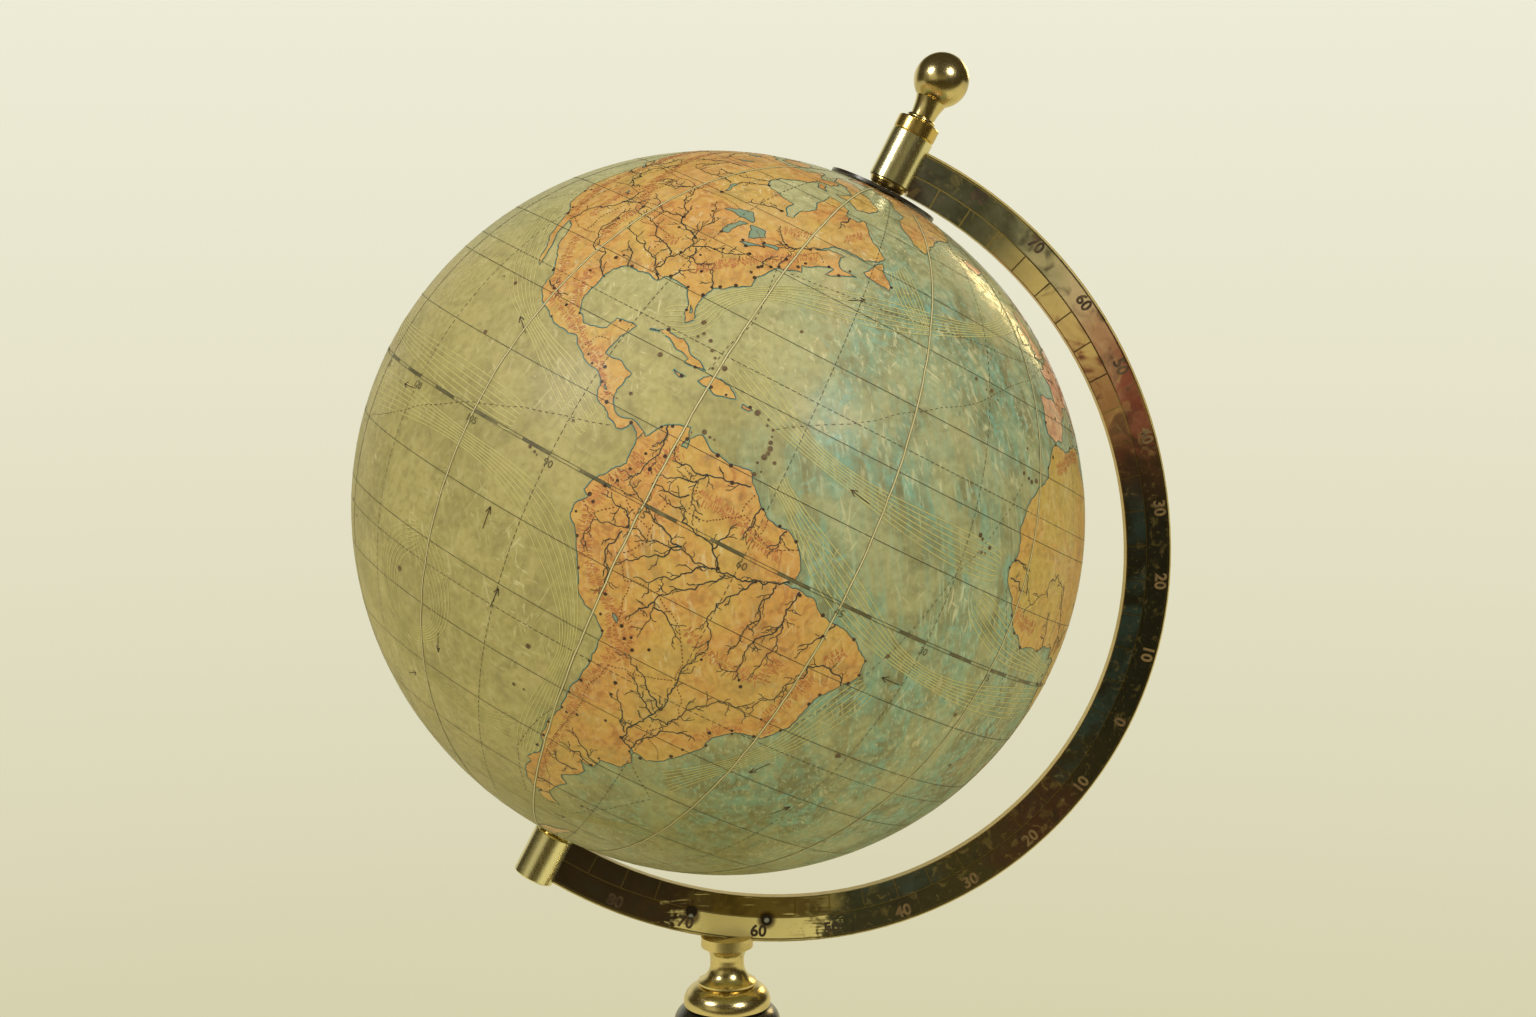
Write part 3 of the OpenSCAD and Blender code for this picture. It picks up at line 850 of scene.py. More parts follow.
LANDS = (
    Land("north_america", Country.ORANGE, """
-141 69.6,-148 70.4,-156.5 71.3,-163 69.5,-166.5 68.3,-161.8 66.6,-168 65.6,-161.5 64.4,-165 62.6,-165.8 60.9,
-162.3 59.8,-157.5 58.6,-158.5 57,-164 54.7,-158 56.2,-153.6 58.6,-151 61,-151.8 59.3,-148 60.2,-144 60,
-139.5 59.6,-136.5 58.2,-133.5 56,-130.5 54.5,-128 52,-126.6 50.6,-123.3 49.2,-122.5 47.5,-124.6 48.3,-124 46,
-124.3 43,-124 40.5,-122.5 37.5,-120.6 34.6,-117.2 32.8,-115.9 30.3,-114.5 28,-112.3 26.1,-111.5 24.4,
-109.8 22.9,-110.9 25.2,-112.6 27.8,-114 29.8,-114.7 31.6,-113 31.2,-111.2 28.3,-109.3 26.2,-107.5 24.5,
-105.6 22.5,-105.5 20.2,-103.5 18.3,-101 17.4,-98 16.2,-95.5 15.9,-94 16.2,-92 14.6,-89.5 13.4,-87.5 13,
-86.2 11.6,-85.8 10,-84 9.2,-82.8 8.2,-81 7.4,-80.2 7.6,-79.5 8.9,-78.2 8.2,-77.6 7.4,-77.3 8.7,-79.6 9.5,
-81.6 9,-83.2 10.2,-83.7 11.2,-83.5 13,-83.2 15,-85.5 15.9,-88.4 15.8,-88.2 17.8,-87.4 20,-86.9 21.4,
-90.3 21.1,-90.7 19.2,-92 18.6,-94.4 18.2,-96.2 19.3,-97.6 21.8,-97.4 25,-97.2 27.5,-95 29.2,-91.5 29.5,
-89.3 29.1,-88.8 30.3,-86 30.4,-84 30,-82.8 28.5,-81.9 26.3,-80.9 25.2,-80.1 26.5,-81.3 30,-80.8 32,-78 33.9,
-75.8 35.2,-76.2 37,-75.1 38.6,-74 40.5,-71.5 41.4,-70 41.8,-70.7 43,-68 44.4,-66.8 44.9,-65 45.4,-66 43.6,
-63.5 44.6,-60.2 46,-63.5 45.9,-64.8 47,-65 48.2,-64.3 49,-68 48.7,-70.6 47.2,-68 49.4,-66 50.2,-60 50.2,
-57 51.5,-55.8 53,-58 54.7,-61.5 57,-64.5 60.3,-66 58.8,-69.5 59,-70 61,-74 62.3,-78 62.4,-77.6 60,-78.3 58.5,
-76.7 56.5,-79 54.5,-79 51.8,-80.6 51.4,-82.3 53,-82.3 55.2,-87.5 56,-92.5 57,-94.5 58.8,-94 61,-90.5 63,
-87.5 64.6,-86.3 66.4,-82 67,-82 69.5,-85.5 69.2,-87.6 68,-90 68.9,-92 71,-94.5 71.9,-95 69.5,-97.5 68.3,
-102 67.8,-108.5 67.9,-115 68,-116.5 69,-124.5 70,-128 70.3,-132 69.8,-136 69"""),
    Land("south_america", Country.ORANGE, """
-77.3 8.7,-76.8 8.2,-75.6 10.3,-74.8 11.1,-72 12.2,-71.5 10.9,-71.9 9.3,-71 9.4,-71.3 10.8,-70 12,-68.3 10.8,
-66 10.4,-64.2 10.4,-62 10.7,-61 9.3,-60 8.4,-58.4 6.8,-57 5.9,-54 5.8,-52 4.7,-51.4 4,-50 1.8,-50 0.2,
-51.3 -0.9,-48.5 -0.8,-46.5 -1,-44.3 -2.6,-41.5 -2.9,-38.5 -3.7,-36.5 -5,-35.2 -6,-34.8 -8,-36.5 -10.5,
-38.3 -12.9,-39 -15,-39.2 -17.8,-40.6 -20.8,-42 -22.8,-44.8 -23.2,-46.8 -24.3,-48.5 -26,-48.8 -28.5,
-50.5 -30.6,-52.2 -32.6,-53.6 -34.1,-55 -34.9,-57.8 -34.4,-58.4 -33.8,-58.3 -34.8,-57 -36.4,-58 -38.2,-62 -39,
-62.3 -41,-65 -41,-63.6 -42.7,-65.3 -44.8,-67.5 -46.3,-65.8 -47.8,-67.8 -50,-69 -52,-68.6 -52.5,-70.8 -53.4,
-73.3 -53,-75 -51.5,-75.5 -49,-74.4 -47,-75.4 -46.2,-73.3 -44,-73 -41.8,-73.8 -39.8,-73.3 -37.2,-71.7 -33.5,
-71.5 -30,-70.6 -26.5,-70.3 -22.5,-70.2 -18.6,-72 -17,-75.8 -14.8,-76.5 -13,-78.3 -9.8,-79.8 -7.2,-81.2 -5.8,
-81.2 -4.3,-79.9 -2.6,-80.9 -2,-80.4 -0.3,-79 1.5,-77.3 3.8,-77.5 6.5,-77.7 7.3"""),
    Land("fireland", Country.ORANGE, "-68.6 -52.8,-70 -53,-71.5 -54,-69.5 -55.3,-65.3 -54.8,-67.5 -53.8"),
    Land("greenland", Country.ORANGE, """
-44 60,-48 61,-51.5 64,-53.5 67,-51 69.5,-54.5 71,-57 74.5,-65 76.2,-71 77,-72 78.3,-65 80.5,-55 82,-35 83,
-22 82,-17 80,-19 77,-20.5 74.5,-23 72,-25 70.5,-32 68.2,-38 65.8,-41.5 63.2,-43 60.8"""),
    Land("baffin", Country.ORANGE, """
-62 66.8,-64.5 63.5,-68 62.5,-72 64.2,-77.5 64.6,-73.5 67,-78 69.5,-85 70.2,-88 73,-80.5 73.7,-73 71.5,
-67.5 69.5"""),
    Land("ellesmere", Country.ORANGE, "-78 76.5,-88 76.5,-91 79,-88 81,-72 82.8,-63 82.2,-72 79"),
    Land("victoria_land", Country.ORANGE, "-105 69,-114 69.2,-117.5 70.8,-115 73,-106 73,-102 70.5"),
    Land("banks_land", Country.ORANGE, "-125 72,-121 71.2,-117 73,-122 74.3"),
    Land("southampton", Country.ORANGE, "-84 64,-80.5 63.8,-83 65.8,-86 65.6"),
    Land("newfoundland", Country.ORANGE, """
-59.3 47.7,-55.8 46.9,-53 46.7,-53.5 48.5,-55.5 50,-56 51.6,-58 49.5"""),
    Land("vancouver", Country.ORANGE, "-128 50.8,-124.6 48.6,-123.4 48.5,-125.3 50.3"),
    Land("cuba", Country.ORANGE, """
-84.9 21.9,-82.5 23.1,-79.5 22.9,-75.8 21.1,-74.2 20.2,-77.5 19.9,-77.3 20.6,-81.5 22.1"""),
    Land("haiti", Country.ORANGE, "-74.4 18.4,-73.2 19.9,-70 19.8,-68.4 18.6,-71 17.8"),
    Land("jamaica", Country.ORANGE, "-78.3 18.3,-76.3 18.2,-77 17.7"),
    Land("porto_rico", Country.ORANGE, "-67.2 18.4,-65.7 18.3,-66 17.9,-67.1 17.9"),
    Land("iceland", Country.ROSE, "-24.3 65.5,-20 66,-14.7 65.6,-13.6 65,-18.5 63.4,-22.5 63.9"),
    Land("africa", Country.OCHRE, """
-5.9 35.8,-9.8 31.5,-9.7 30,-13 27.8,-16 24,-17 21,-16.3 19,-16.6 16,-17.4 14.7,-16.7 12.4,-14.5 10.8,
-13.2 8.8,-11.4 6.8,-7.6 4.4,-4 5.2,-2 4.8,1.2 6.1,4.4 6.3,6 4.3,8.5 4.6,9.6 3.8,9.8 1,9.3 -0.8,11.3 -4,
13.2 -8.5,13.5 -12.2,11.8 -16.5,12.5 -19,14.4 -22.5,15.2 -27,18.2 -32,18.4 -34.2,20 -34.8,25.6 -34,28.5 -32.6,
31 -29.8,32.8 -27,32.8 -25.5,35.5 -24,35.2 -21,34.8 -19.8,37 -17.6,40.5 -15,40.5 -11,39.3 -7,39 -5,41 -2,44 1,
47.8 4.2,50.8 9.5,51.2 11.8,48 11.2,44 10.5,43.2 12,40 15,37.4 18.8,37 21.5,35.5 24,33.8 27,32.6 29.8,
32.3 31.2,29 30.9,25 31.6,20.5 32.6,19.5 30.4,15.5 31.8,11.5 33.2,10.2 34.3,11 37,9.8 37.3,3 36.8,
-1.5 35.5"""),
    Land("madagascar", Country.OCHRE, "49.3 -12,50.4 -15.7,47.2 -25,44 -25,43.4 -22,44.4 -17,47.5 -14.8"),
    Land("eurasia", Country.ROSE, """
-5.4 36.1,-9 37,-9.4 38.8,-8.8 41.5,-9.2 43.1,-4 43.5,-1.6 43.4,-1.1 45.8,-4.6 48.2,-1.6 48.7,-1.6 49.6,
1.5 50.5,3.5 51.5,4.7 53,8.3 53.6,8.2 57,10.5 57.6,10 55,11 54,14.2 54,18.6 54.5,21 55.3,21.5 57.5,24.2 57.3,
23.6 59,28 59.6,29.8 60,25 60.2,22 60.5,21.4 62.5,25 65,22 65.7,17.5 62,17.5 60.5,18.7 60,16.6 58,16 56.3,
13 55.4,12.5 57,11 59,9.5 59,7 58,5.2 59.5,5 62,10 64.2,13 66.5,16 68.6,21 70,25.8 71,31 70.3,36 69.2,41 67,
39 66,33 66.7,35 64.4,38 64.2,40.5 64.8,44 66.3,44 68.3,47 67.2,54 68.5,60 69,68 68.5,67 71.5,69.5 72.9,
73 71.5,73.5 68,77 72,80.5 73.5,87 74.5,98 76.2,104 77.6,113 75.5,109 73.5,120 73,127 73,130 71,137 71.5,
145 72.5,152 71,160 69.8,170 69.5,178 69.2,184 67,190 66,184 64.8,180 65,178 62.5,170 60,163.5 59.8,162 56.5,
156.8 51.2,155.7 56,160 60.5,164 62.5,157 61.5,152 59,143 59.2,137 54.5,141 53,140.3 48.5,135 43.5,131 42.8,
127.5 39.6,129.4 36.5,129 35.2,126.4 34.5,126.6 37.3,124.7 39.6,121.5 39,121.5 40.8,118 39,119 37.3,
122.5 37.2,119.3 35,121.8 32,121.8 29.5,119.5 25.7,116.5 23,113.5 22,110.3 20.6,108 21.6,105.8 19,108.8 15.3,
109.3 11.7,106.6 10,105 8.7,104.8 10.5,102.5 12,100.8 13.5,99.2 10.5,100.4 7,103.3 4.5,104.2 1.4,101.3 2.8,
100.3 5.8,98.3 8,98.6 12,97.5 16.5,94.3 16,94.4 18.5,92 21.5,90 22,87 21.3,85.5 19.6,82.3 16.6,80.2 15.5,
80.2 13,79.8 10.3,78 8.2,76.3 9.8,74.4 14.5,72.8 19,72.7 21,70.5 20.8,69 22.3,67 24.8,61.5 25.1,57.2 25.8,
56.3 27,51.5 27.8,48.5 30.2,48 29.5,50.2 26.5,51.3 25.2,51.6 24,54.5 24.2,56.3 26,56.8 24.2,59.8 22.4,57.8 19,
55 17,52 15.6,45 12.9,43.3 13,42.7 16.5,39 21.5,37 25,35 28,34.9 29.5,34.3 31.3,35.9 35.5,36 36.7,32.5 36.1,
30.6 36.8,27.4 37,26.5 39.3,29.5 40.8,29.2 41.2,31.5 41.3,35 42,38 41,41.5 41.6,39 44,37.3 45.3,39.2 47.1,
35.5 46.4,36.5 45.3,33.6 44.5,32.7 46,30.8 46.5,28.6 43.8,27.8 42.3,28.8 41.3,26.1 40.7,23.6 40.3,23 39,24 38,
22.8 36.5,21.2 37.8,19.4 40.5,19.5 42,15.3 44.1,13.7 45.6,12.4 45.2,13.7 43.5,16 41.9,18.4 40.1,16.8 39.6,
16 38,15.5 40,12.5 41.6,10.3 43.5,8.8 44.4,6.5 43.2,3.2 43.1,3.1 41.8,0.3 40.5,-0.3 38.8,-2 36.8,
-4.5 36.7"""),
    Land("britain", Country.ROSE, """
-5.5 50.1,-3.5 50.4,1.3 51.2,1.6 52.8,0.2 53.2,-1.6 55,-2.2 57,-3.2 58.6,-5.1 58.5,-5.5 56,-4.8 54.7,-3 54,
-4.5 53.2,-4.2 52.3,-5.2 51.8,-3.2 51.3"""),
    Land("ireland", Country.ROSE, "-6.2 52.2,-10 51.6,-10 54,-8 55.2,-5.7 54.5"),
    Land("spitsbergen", Country.ROSE, "11 79,16 77,27 80,18 80.3"),
    Land("nova_zembla", Country.ROSE, "52 71,57.5 70.7,56 73.5,68 76.7,60 76,53 73"),
    Land("sicily", Country.ROSE, "12.5 38,15.5 38.2,15.1 36.7"),
    Land("sardinia", Country.ROSE, "8.3 41,9.7 41,9.5 39.2,8.5 39"),
    Land("ceylon", Country.STRAW, "79.8 8,80.2 9.7,81.8 7.5,80.6 6"),
    Land("sumatra", Country.STRAW, """
95.3 5.6,97.8 5.2,100.5 2.3,103.5 -0.5,106 -3,105.8 -5.8,102.3 -4,100.3 -1,98.7 1.7"""),
    Land("java", Country.STRAW, "105.2 -6.8,106.5 -6,110.8 -6.4,114.4 -7.7,114.5 -8.7,108 -7.8"),
    Land("borneo", Country.STRAW, """
109 1.6,111.4 2.5,113.5 3.5,117 7,119 5.2,117.8 2,119 1,116.5 -1.5,116 -4,110.3 -2.9,109.2 -0.3"""),
    Land("celebes", Country.STRAW, """
119.5 -5.5,119.2 -3,119.8 0.8,124.8 1.5,120.6 0.3,123.2 -1,121.7 -2,122.6 -5"""),
    Land("luzon", Country.STRAW, "120.6 18.5,122.2 18.4,121.6 15.9,124 12.8,120.7 13.9,119.8 16"),
    Land("mindanao", Country.STRAW, "122 7,123.5 8.6,125.5 9.8,126.5 7.3,125.4 5.8,124 6.6"),
    Land("formosa", Country.STRAW, "121.5 25.1,120.2 23,120.8 22"),
    Land("nippon", Country.STRAW, """
130 33.4,131 34.4,135.5 35.6,137 37,139.5 38.5,140.3 41.2,142 39.6,140.8 36,139.8 35,136.8 34.5,135.7 33.5,
132.5 34.2,131.3 31.4,130.2 31.3"""),
    Land("yeso", Country.STRAW, "140 42,141.7 45.4,145.3 43.3,143.2 42"),
    Land("sakhalin", Country.ROSE, "142 46,142.2 49,142.3 54,143.3 52.5,144.5 49,143 47"),
    Land("australia", Country.SAND, """
113.8 -22,114 -26.5,115.7 -32,115.1 -34.3,118 -35,123.5 -33.9,129 -31.7,131.5 -31.5,135 -34.7,137.8 -33,
138.2 -35.5,140.5 -38,144 -38.7,146.3 -39,150 -37.4,151.3 -33.5,153.2 -30,153.2 -26,150.8 -23.3,148.5 -20.2,
146 -18.8,145.4 -15,143.5 -14,142.5 -10.8,141.6 -13.5,140.8 -17.4,139 -17.3,135.5 -15,136.8 -12.2,133 -11.5,
130.7 -12.4,129.5 -15,126 -14,123.6 -17,122.2 -18.2,119 -20,116.5 -20.8"""),
    Land("new_guinea", Country.SAND, """
131 -0.8,134 -0.9,135 -3.3,138 -1.8,141 -2.6,145 -4.5,147.8 -6,150.5 -10.5,147 -9.4,144 -7.7,141 -9.1,
138 -8.3,138 -6,133 -4,132 -2.8"""),
    Land("tasmania", Country.SAND, "144.8 -41,148.2 -41,147.5 -43.5,146 -43.3"),
    Land("new_zealand_north", Country.SAND, """
173 -34.5,175.5 -36.8,178.4 -37.7,177 -39.4,175 -41.5,173.8 -39.3,174.7 -37.5"""),
    Land("new_zealand_south", Country.SAND, """
172.8 -40.6,174.2 -41.7,171.2 -44.3,168.7 -46.6,166.6 -45.9,170.5 -42.9"""),
    Land("graham_land", Country.SAND, "-57 -63.4,-61 -64.3,-67 -67.5,-72 -71,-62 -72,-61 -68,-59 -65"),
    Land("south_victoria", Country.SAND, "163 -77,166 -73,170 -71.5,160 -69.5,140 -66.8,142 -69,158 -73"),
    Land("enderby_land", Country.SAND, "45 -68,50 -66.3,58 -67,55 -69"),
)

# Rivers, from the mouth up, with a semicolon between them
RIVERS = """
-50.5 -0.5,-52.5 -1.5,-55 -2.2,-58 -3.1,-60.5 -3.3,-63 -3.9,-65.5 -3,-68 -3.5,-70 -4.2,-73.2 -3.8,-76.5 -4.9,
-78 -5,-78.3 -7,-77.2 -9.5;-73.6 -4.6,-74.5 -7,-74 -9.5,-73 -11.5,-72.3 -13.5;-73 -3.6,-75 -1.8,-77.3 -0.6;
-65.5 -2.6,-68.5 -1.8,-71 -0.8,-74 0.8,-75.8 1.8;-60.2 -3.1,-61.5 -1.5,-64.5 -0.4,-67 0.3,-67.3 2,-70 2.2;
-61.8 -1.3,-61 1,-60.5 3.5;-58.8 -3.4,-60.5 -5.5,-63 -8,-65 -9.8,-65.4 -11.5,-65 -14,-65.5 -17;-65.4 -11.2,
-67 -13,-68 -15.5;-65.2 -12,-62.5 -12.8,-60 -14.5;-61.4 -3.8,-64 -6,-66.5 -8,-69.5 -9.5;-65.8 -2.7,-67 -5,
-70 -7,-72.5 -9;-54.7 -2.4,-56 -5,-58 -7.5,-57.5 -11,-56 -14;-52 -1.6,-52.5 -4,-51.8 -7,-53 -10,-53.5 -13;
-48.7 -1,-49.3 -4,-48.4 -6.5,-48 -9,-48.5 -12.5,-49 -15.5;-48.7 -5.5,-50.5 -9,-51 -13,-52.5 -16.5;-42 -2.9,
-43 -5.5,-45 -8.5;-36.5 -10.5,-39.5 -8.8,-42.5 -9.8,-43.8 -13.5,-45 -17,-46 -20;-58.4 -34,-60.5 -32.5,
-59.8 -29.5,-58.7 -27.4,-55.5 -27.3,-54.5 -25,-53.3 -22.5,-51 -20.2,-48 -19.8,-46 -20.8;-58.7 -27.3,
-57.7 -25.3,-57.5 -22,-57.8 -19,-57 -16,-56.3 -14.5;-58.4 -34,-57.8 -31.5,-56 -28.8,-53 -27.3,-50.5 -27.8;
-60.6 -31.7,-62.5 -28.5,-64.5 -25.5;-57.8 -25.3,-60.5 -23.5,-63 -21.5,-65.5 -19.8;-58.4 -26.8,-62 -24.3,
-64.5 -22.5;-62.1 -39.8,-66 -38,-69.5 -36.5;-62.8 -41,-66 -39.3,-70 -39.5;-65 -43.3,-69 -43.5,-71.3 -42.5;
-68.5 -50.1,-72.3 -50.2;-61 8.8,-64 8,-67 7.3,-67.7 5.5,-67.2 3.2,-65 2.4;-66.8 7.6,-69.5 7.5,-72 7;-67.5 6.1,
-70 5.5,-73 4.3;-67.8 4,-70 3,-73 3;-74.8 11,-74.3 9,-74.2 6.5,-75 3.5,-76.2 1.8;-58.5 6.8,-58.4 4,-58.8 1.8;
-54 5.6,-54.3 3.5,-55.5 2.3;-89.3 29.2,-91.3 30.8,-91 33.5,-89.8 36,-89.3 37.2,-90.7 39,-91.3 41,-90.5 43,
-92.5 44.7,-94 46.2,-95 47.3;-90.3 38.8,-93 39.3,-95 40,-96.5 42.5,-99.3 44,-100.8 46.5,-103.5 48,-108 47.6,
-111 47.5,-112 45.9;-89.2 37,-87.5 37.9,-85.5 38.3,-83 38.7,-81.5 39.5,-80 40.5;-88.5 37,-88 35,-86 34.5,
-84 35.8;-91.1 33.8,-94 35.3,-97 36.3,-100 37.8,-104 38.2,-106.2 39;-91.7 31,-93.8 32.5,-96.5 33.8,-100 34.3,
-103 34.8;-96 41,-99 40.7,-102 41.2,-106 42.2;-104 48,-107 46.3,-110.5 45.5;-97.2 25.9,-99.3 26.8,-101 29.5,
-103 29.1,-105 31,-106.8 33,-106.5 36,-107.2 37.8;-114.8 31.8,-114.5 34,-113 36.2,-110.8 37.3,-109.8 39,
-108 39.5,-106 40.3;-110 38.3,-109.7 41,-110 43;-124 46.2,-121 45.7,-119 46.3,-119.5 48.2,-118 49.5,-117.5 52,
-116 50.7;-119 46.2,-117 45.5,-117 43.8,-114.5 42.7,-112 43.5;-123 49.2,-121.5 50.5,-122.8 53.5,-119.5 53;
-164 62.7,-160 62,-157.5 64.7,-152 65.2,-146 66.3,-141 65,-137 62.5,-134 60.5;-134 69,-131 67.3,-127 65.5,
-124 63,-121 61.7,-117 61.2;-111.5 59,-114 58.5,-117 57,-121 56;-111.4 58.5,-112 56,-115 54.7;-99.2 53.1,
-102 53.7,-105.5 53.2,-109 53,-113.5 53.5;-92.6 57,-95 55.8,-97.8 53.9;-94.2 58.7,-98 57,-103 55.8,-108 55.8;
-69.5 47.9,-71.5 46.7,-73.5 45.5,-75.8 44.5,-76.5 44.2;-74 45.4,-77 46,-79.5 47.3;-74 40.7,-73.8 42.5,
-73.6 43.8;-88 30.7,-87.5 32.3,-85.5 33.5;-95.3 28.9,-97 31.5,-99.5 33;-105.3 21.6,-103 20.8,-101 20.2;
-68 58.8,-69.5 56.5,-69 54.5;-82 52.2,-86 51.5,-90 50.5;-76.5 39.5,-76.8 41,-75.5 42.5;-81 32,-82.3 33.8,
-83.3 34.8;-16.4 16,-13.5 16,-12 14.5,-11 12;-16.5 13.4,-14 13.4,-12.5 12;6 4.4,6.5 7,5 10.5,3.5 12,0.5 15.5,
-2 16.8,-4.5 15.5,-6.5 13,-9 11,-10.5 9.5;6.8 7.8,10 8,13.5 9.3;0.6 5.8,-0.8 8.5,-2.5 11;12.4 -6,15 -4.5,
16.5 -2,18 0.5,21.5 2,24.5 1,25.5 -2.5,26.5 -6,26 -10;36 -18.6,33 -16.5,30 -15.7,27 -17.5,24.5 -17.5,23 -14,
24 -11.5;16.5 -28.6,20 -28.5,24 -29,27 -30.3;31.5 31.3,31 29,32 26.5,32.8 24,31 21.5,30.5 19,33 18.5,
33.8 16.5,32.5 15.5,32.5 12,31.5 9.5,31.5 6,31.8 3,32.5 0;32.6 15.5,34.3 13,35 11,37.3 11.5;29.6 45.2,
27.5 44.2,23 44,20.5 44.8,19 47,16.5 48.2,12 48.9,9 48;4.3 51.9,7 51,8 49.5,7.7 47.7,9.5 47.3;8.8 53.9,
11.5 53,13 51.2,15.5 50.2;19 54.3,19 52.9,21.5 51.5,20 50;32 46.6,34.8 48,31 50.3,30.5 53.5,33 55.2;39.3 47.2,
43 48,40 50.5,39 53;47.8 46,46 48.5,46.5 51.5,49.5 53.5,49 56,44 56.3,39.5 58,34.5 56.9;51.7 47,52 51,58 51.5;
72.5 67.5,67 66,66.5 63,69 61,75 60.5,80 57.5,84 54,85.5 52.3;69 61,69 58,74 55.5,80 50.5;83 71,86 67,89.5 62,
91 58,93 55.5,94.5 52;92.5 58,99 58.3,103 55,104.5 52;127 72.5,124 68,128 64,129.5 62,122 60,114 60,
107.5 56.5,106.5 53.8;141 53,137 50,132 47.8,127.5 50,121 53.2,114 50;118.8 37.7,114 35,110.3 35,110.5 39.5,
107 40.5,104 36.5,99 34.5;121.5 31.5,116.5 30,112 30.3,108 30.7,104 28.8,100.5 26.5,98.5 30,95 34;106.5 10,
105.8 13.5,104.5 16.5,101 20.3,99 25,97.5 29.5;95 16,95.2 20,96.5 24,97.5 27;90.5 22.3,87.5 24.8,82.5 25.5,
79.5 28;90 23.8,90 26,95.5 28,90 29.3,83 29.8;67.5 24,68.5 27,71 30,72.3 33.5,75 35.3,79 33;48.4 30,45 31.5,
41.5 34.3,38 36.5,40 39;47.5 31,44.4 33.3,42.8 36.5,40.5 38;59.5 43.5,62 41,66 37.5,71 37.5;61 46,66 44.5,
69 41;139 -35.5,141 -34,145 -35.8,148 -36;142 -34,144 -31,149 -29;-2 47.3,0.7 47.3,3 47,4 45.3
"""

# Crests of mountain ranges
RANGES = """
-72.5 -50,-72 -45,-71 -40,-70.3 -35,-70 -30,-68.5 -25,-67.7 -20,-69.8 -16,-73 -13.5,-76 -10.5,-78.3 -7,-79 -3,
-78.3 0,-76.8 3,-75.8 6;-66 -21,-66.5 -17.5,-70 -14.5;-74.5 4,-73 7,-71 8.8;-67 5,-63 4.5,-60 4,-57 2.5,
-53 2.2;-41.5 -22,-43.5 -19,-42 -15,-41.5 -11;-48 -15,-52 -15,-56 -14.5,-60 -12.5;-49.5 -27,-49 -24.5,
-45 -22.7;-39 -6,-41 -8.5;-46.5 -11,-47 -15;-105 32,-105.5 36,-106 40,-109 43,-112.5 46,-115 50,-118 53,
-122 56.5,-126 60,-130 64;-116.5 33.5,-118.5 36.5,-120.5 39.5,-122 43,-121.5 47,-124 51,-129 56,-135 60,
-143 61.5,-151 62.5;-108.5 30,-106.5 26,-104.5 22.5,-102 19.5,-97.5 18.3,-92 15.5,-88.5 14.5,-84.5 10.5;
-100.5 26,-99.5 22.5,-97.5 19.5;-85.5 34,-83 36,-80.5 38,-78 40.3,-74.5 42.5,-71.5 44.5,-69 46.2;-94.5 36,
-92 37;-66 53,-63 56;-112 34,-113 38,-112 41;-78 48,-72 50;-12 9.5,-8.5 8,-5 8;8 6,12 7.5;38 8,39 13;27 -31,
30 -27.5;30 -10,33 -3,36 1;-6 32,0 34.5,8 36;6.5 44.5,8 46.3,12 47,15 47;-1.5 43,2 42.5;18 49.3,23 48.5,
26 46.5,23 45.3;7 60.5,12 64,18 68;59 52,59 58,60 64,66 68;38 44,43 43,48 41;72 36,78 32,84 28.5,90 28,95 29;
76 37,84 36.5,92 36,100 36;70 42,80 42.5,88 48,95 51,105 51,115 53,130 56,140 60;45 36,49 33,55 29,60 27;
74 19,76 11;149 -36,152 -30,149 -24,145.5 -18
"""

# Borders of states
BORDERS = """
-123 49,-115 49,-105 49,-95 49,-89.5 48;-82.5 45.3,-79 42.9;-75 45,-71.5 45,-69.5 47,-67.5 45.6;-117 32.5,
-111 31.3,-106.5 31.8;-141 69.5,-141 60.5,-135 59;-109 41,-102 41,-102 37,-94.5 37,-94.5 33.5;-109 49,-109 37,
-109 31.5;-120 42,-111 42,-111 45;-51.5 4,-54.5 2.3,-60 5,-64 2,-67 1.8,-69.8 1.7,-69.9 -4.3,-73 -7.5,
-70.5 -10.5,-65.3 -10,-60.5 -13.5,-58 -17.5,-58 -20,-55.7 -22.3,-54.5 -25.5,-57.5 -30.2,-53.5 -33.7;
-80.3 -3.4,-78.5 -4.8,-75.5 -1.5,-70 -4.2;-78.8 1.4,-75.3 -0.1,-70.1 -2.7;-71.5 11.8,-72.5 8.5,-70 7,-67.5 6,
-67 2;-69.5 -17.6,-69 -14.5,-69.5 -11;-67.5 -22.8,-62.5 -22,-58 -20.3;-69 -51,-71.5 -45,-71 -38,-69.6 -33,
-69 -27,-67.5 -22.8;-60 8,-60.5 5;-57 5.8,-57.5 2;-54 5.6,-54 2.3;-92 15,-91 17.5,-89 17.8;-83 11,-85.5 11;
-15.5 12.5,-11.5 12.3;9.8 2.2,16 2;7 44,7.5 47.5,6 49.5,2.5 51;14 54,15 51,19 49.5,24 48,28 45.3;28 59.5,
27.5 56,23 54,23 50.5;-2 43.3,3 42.4;49 29,40 32,36 33;61 25,61 31,61 36;62 36,71 37,75 35;75 35,80 30.5,
88 27.5,97 28;80 45,88 49,98 51,110 49.5,120 50,127 50,131 45,131 42.5;129 -15,129 -31.5;141 -17,141 -38
"""

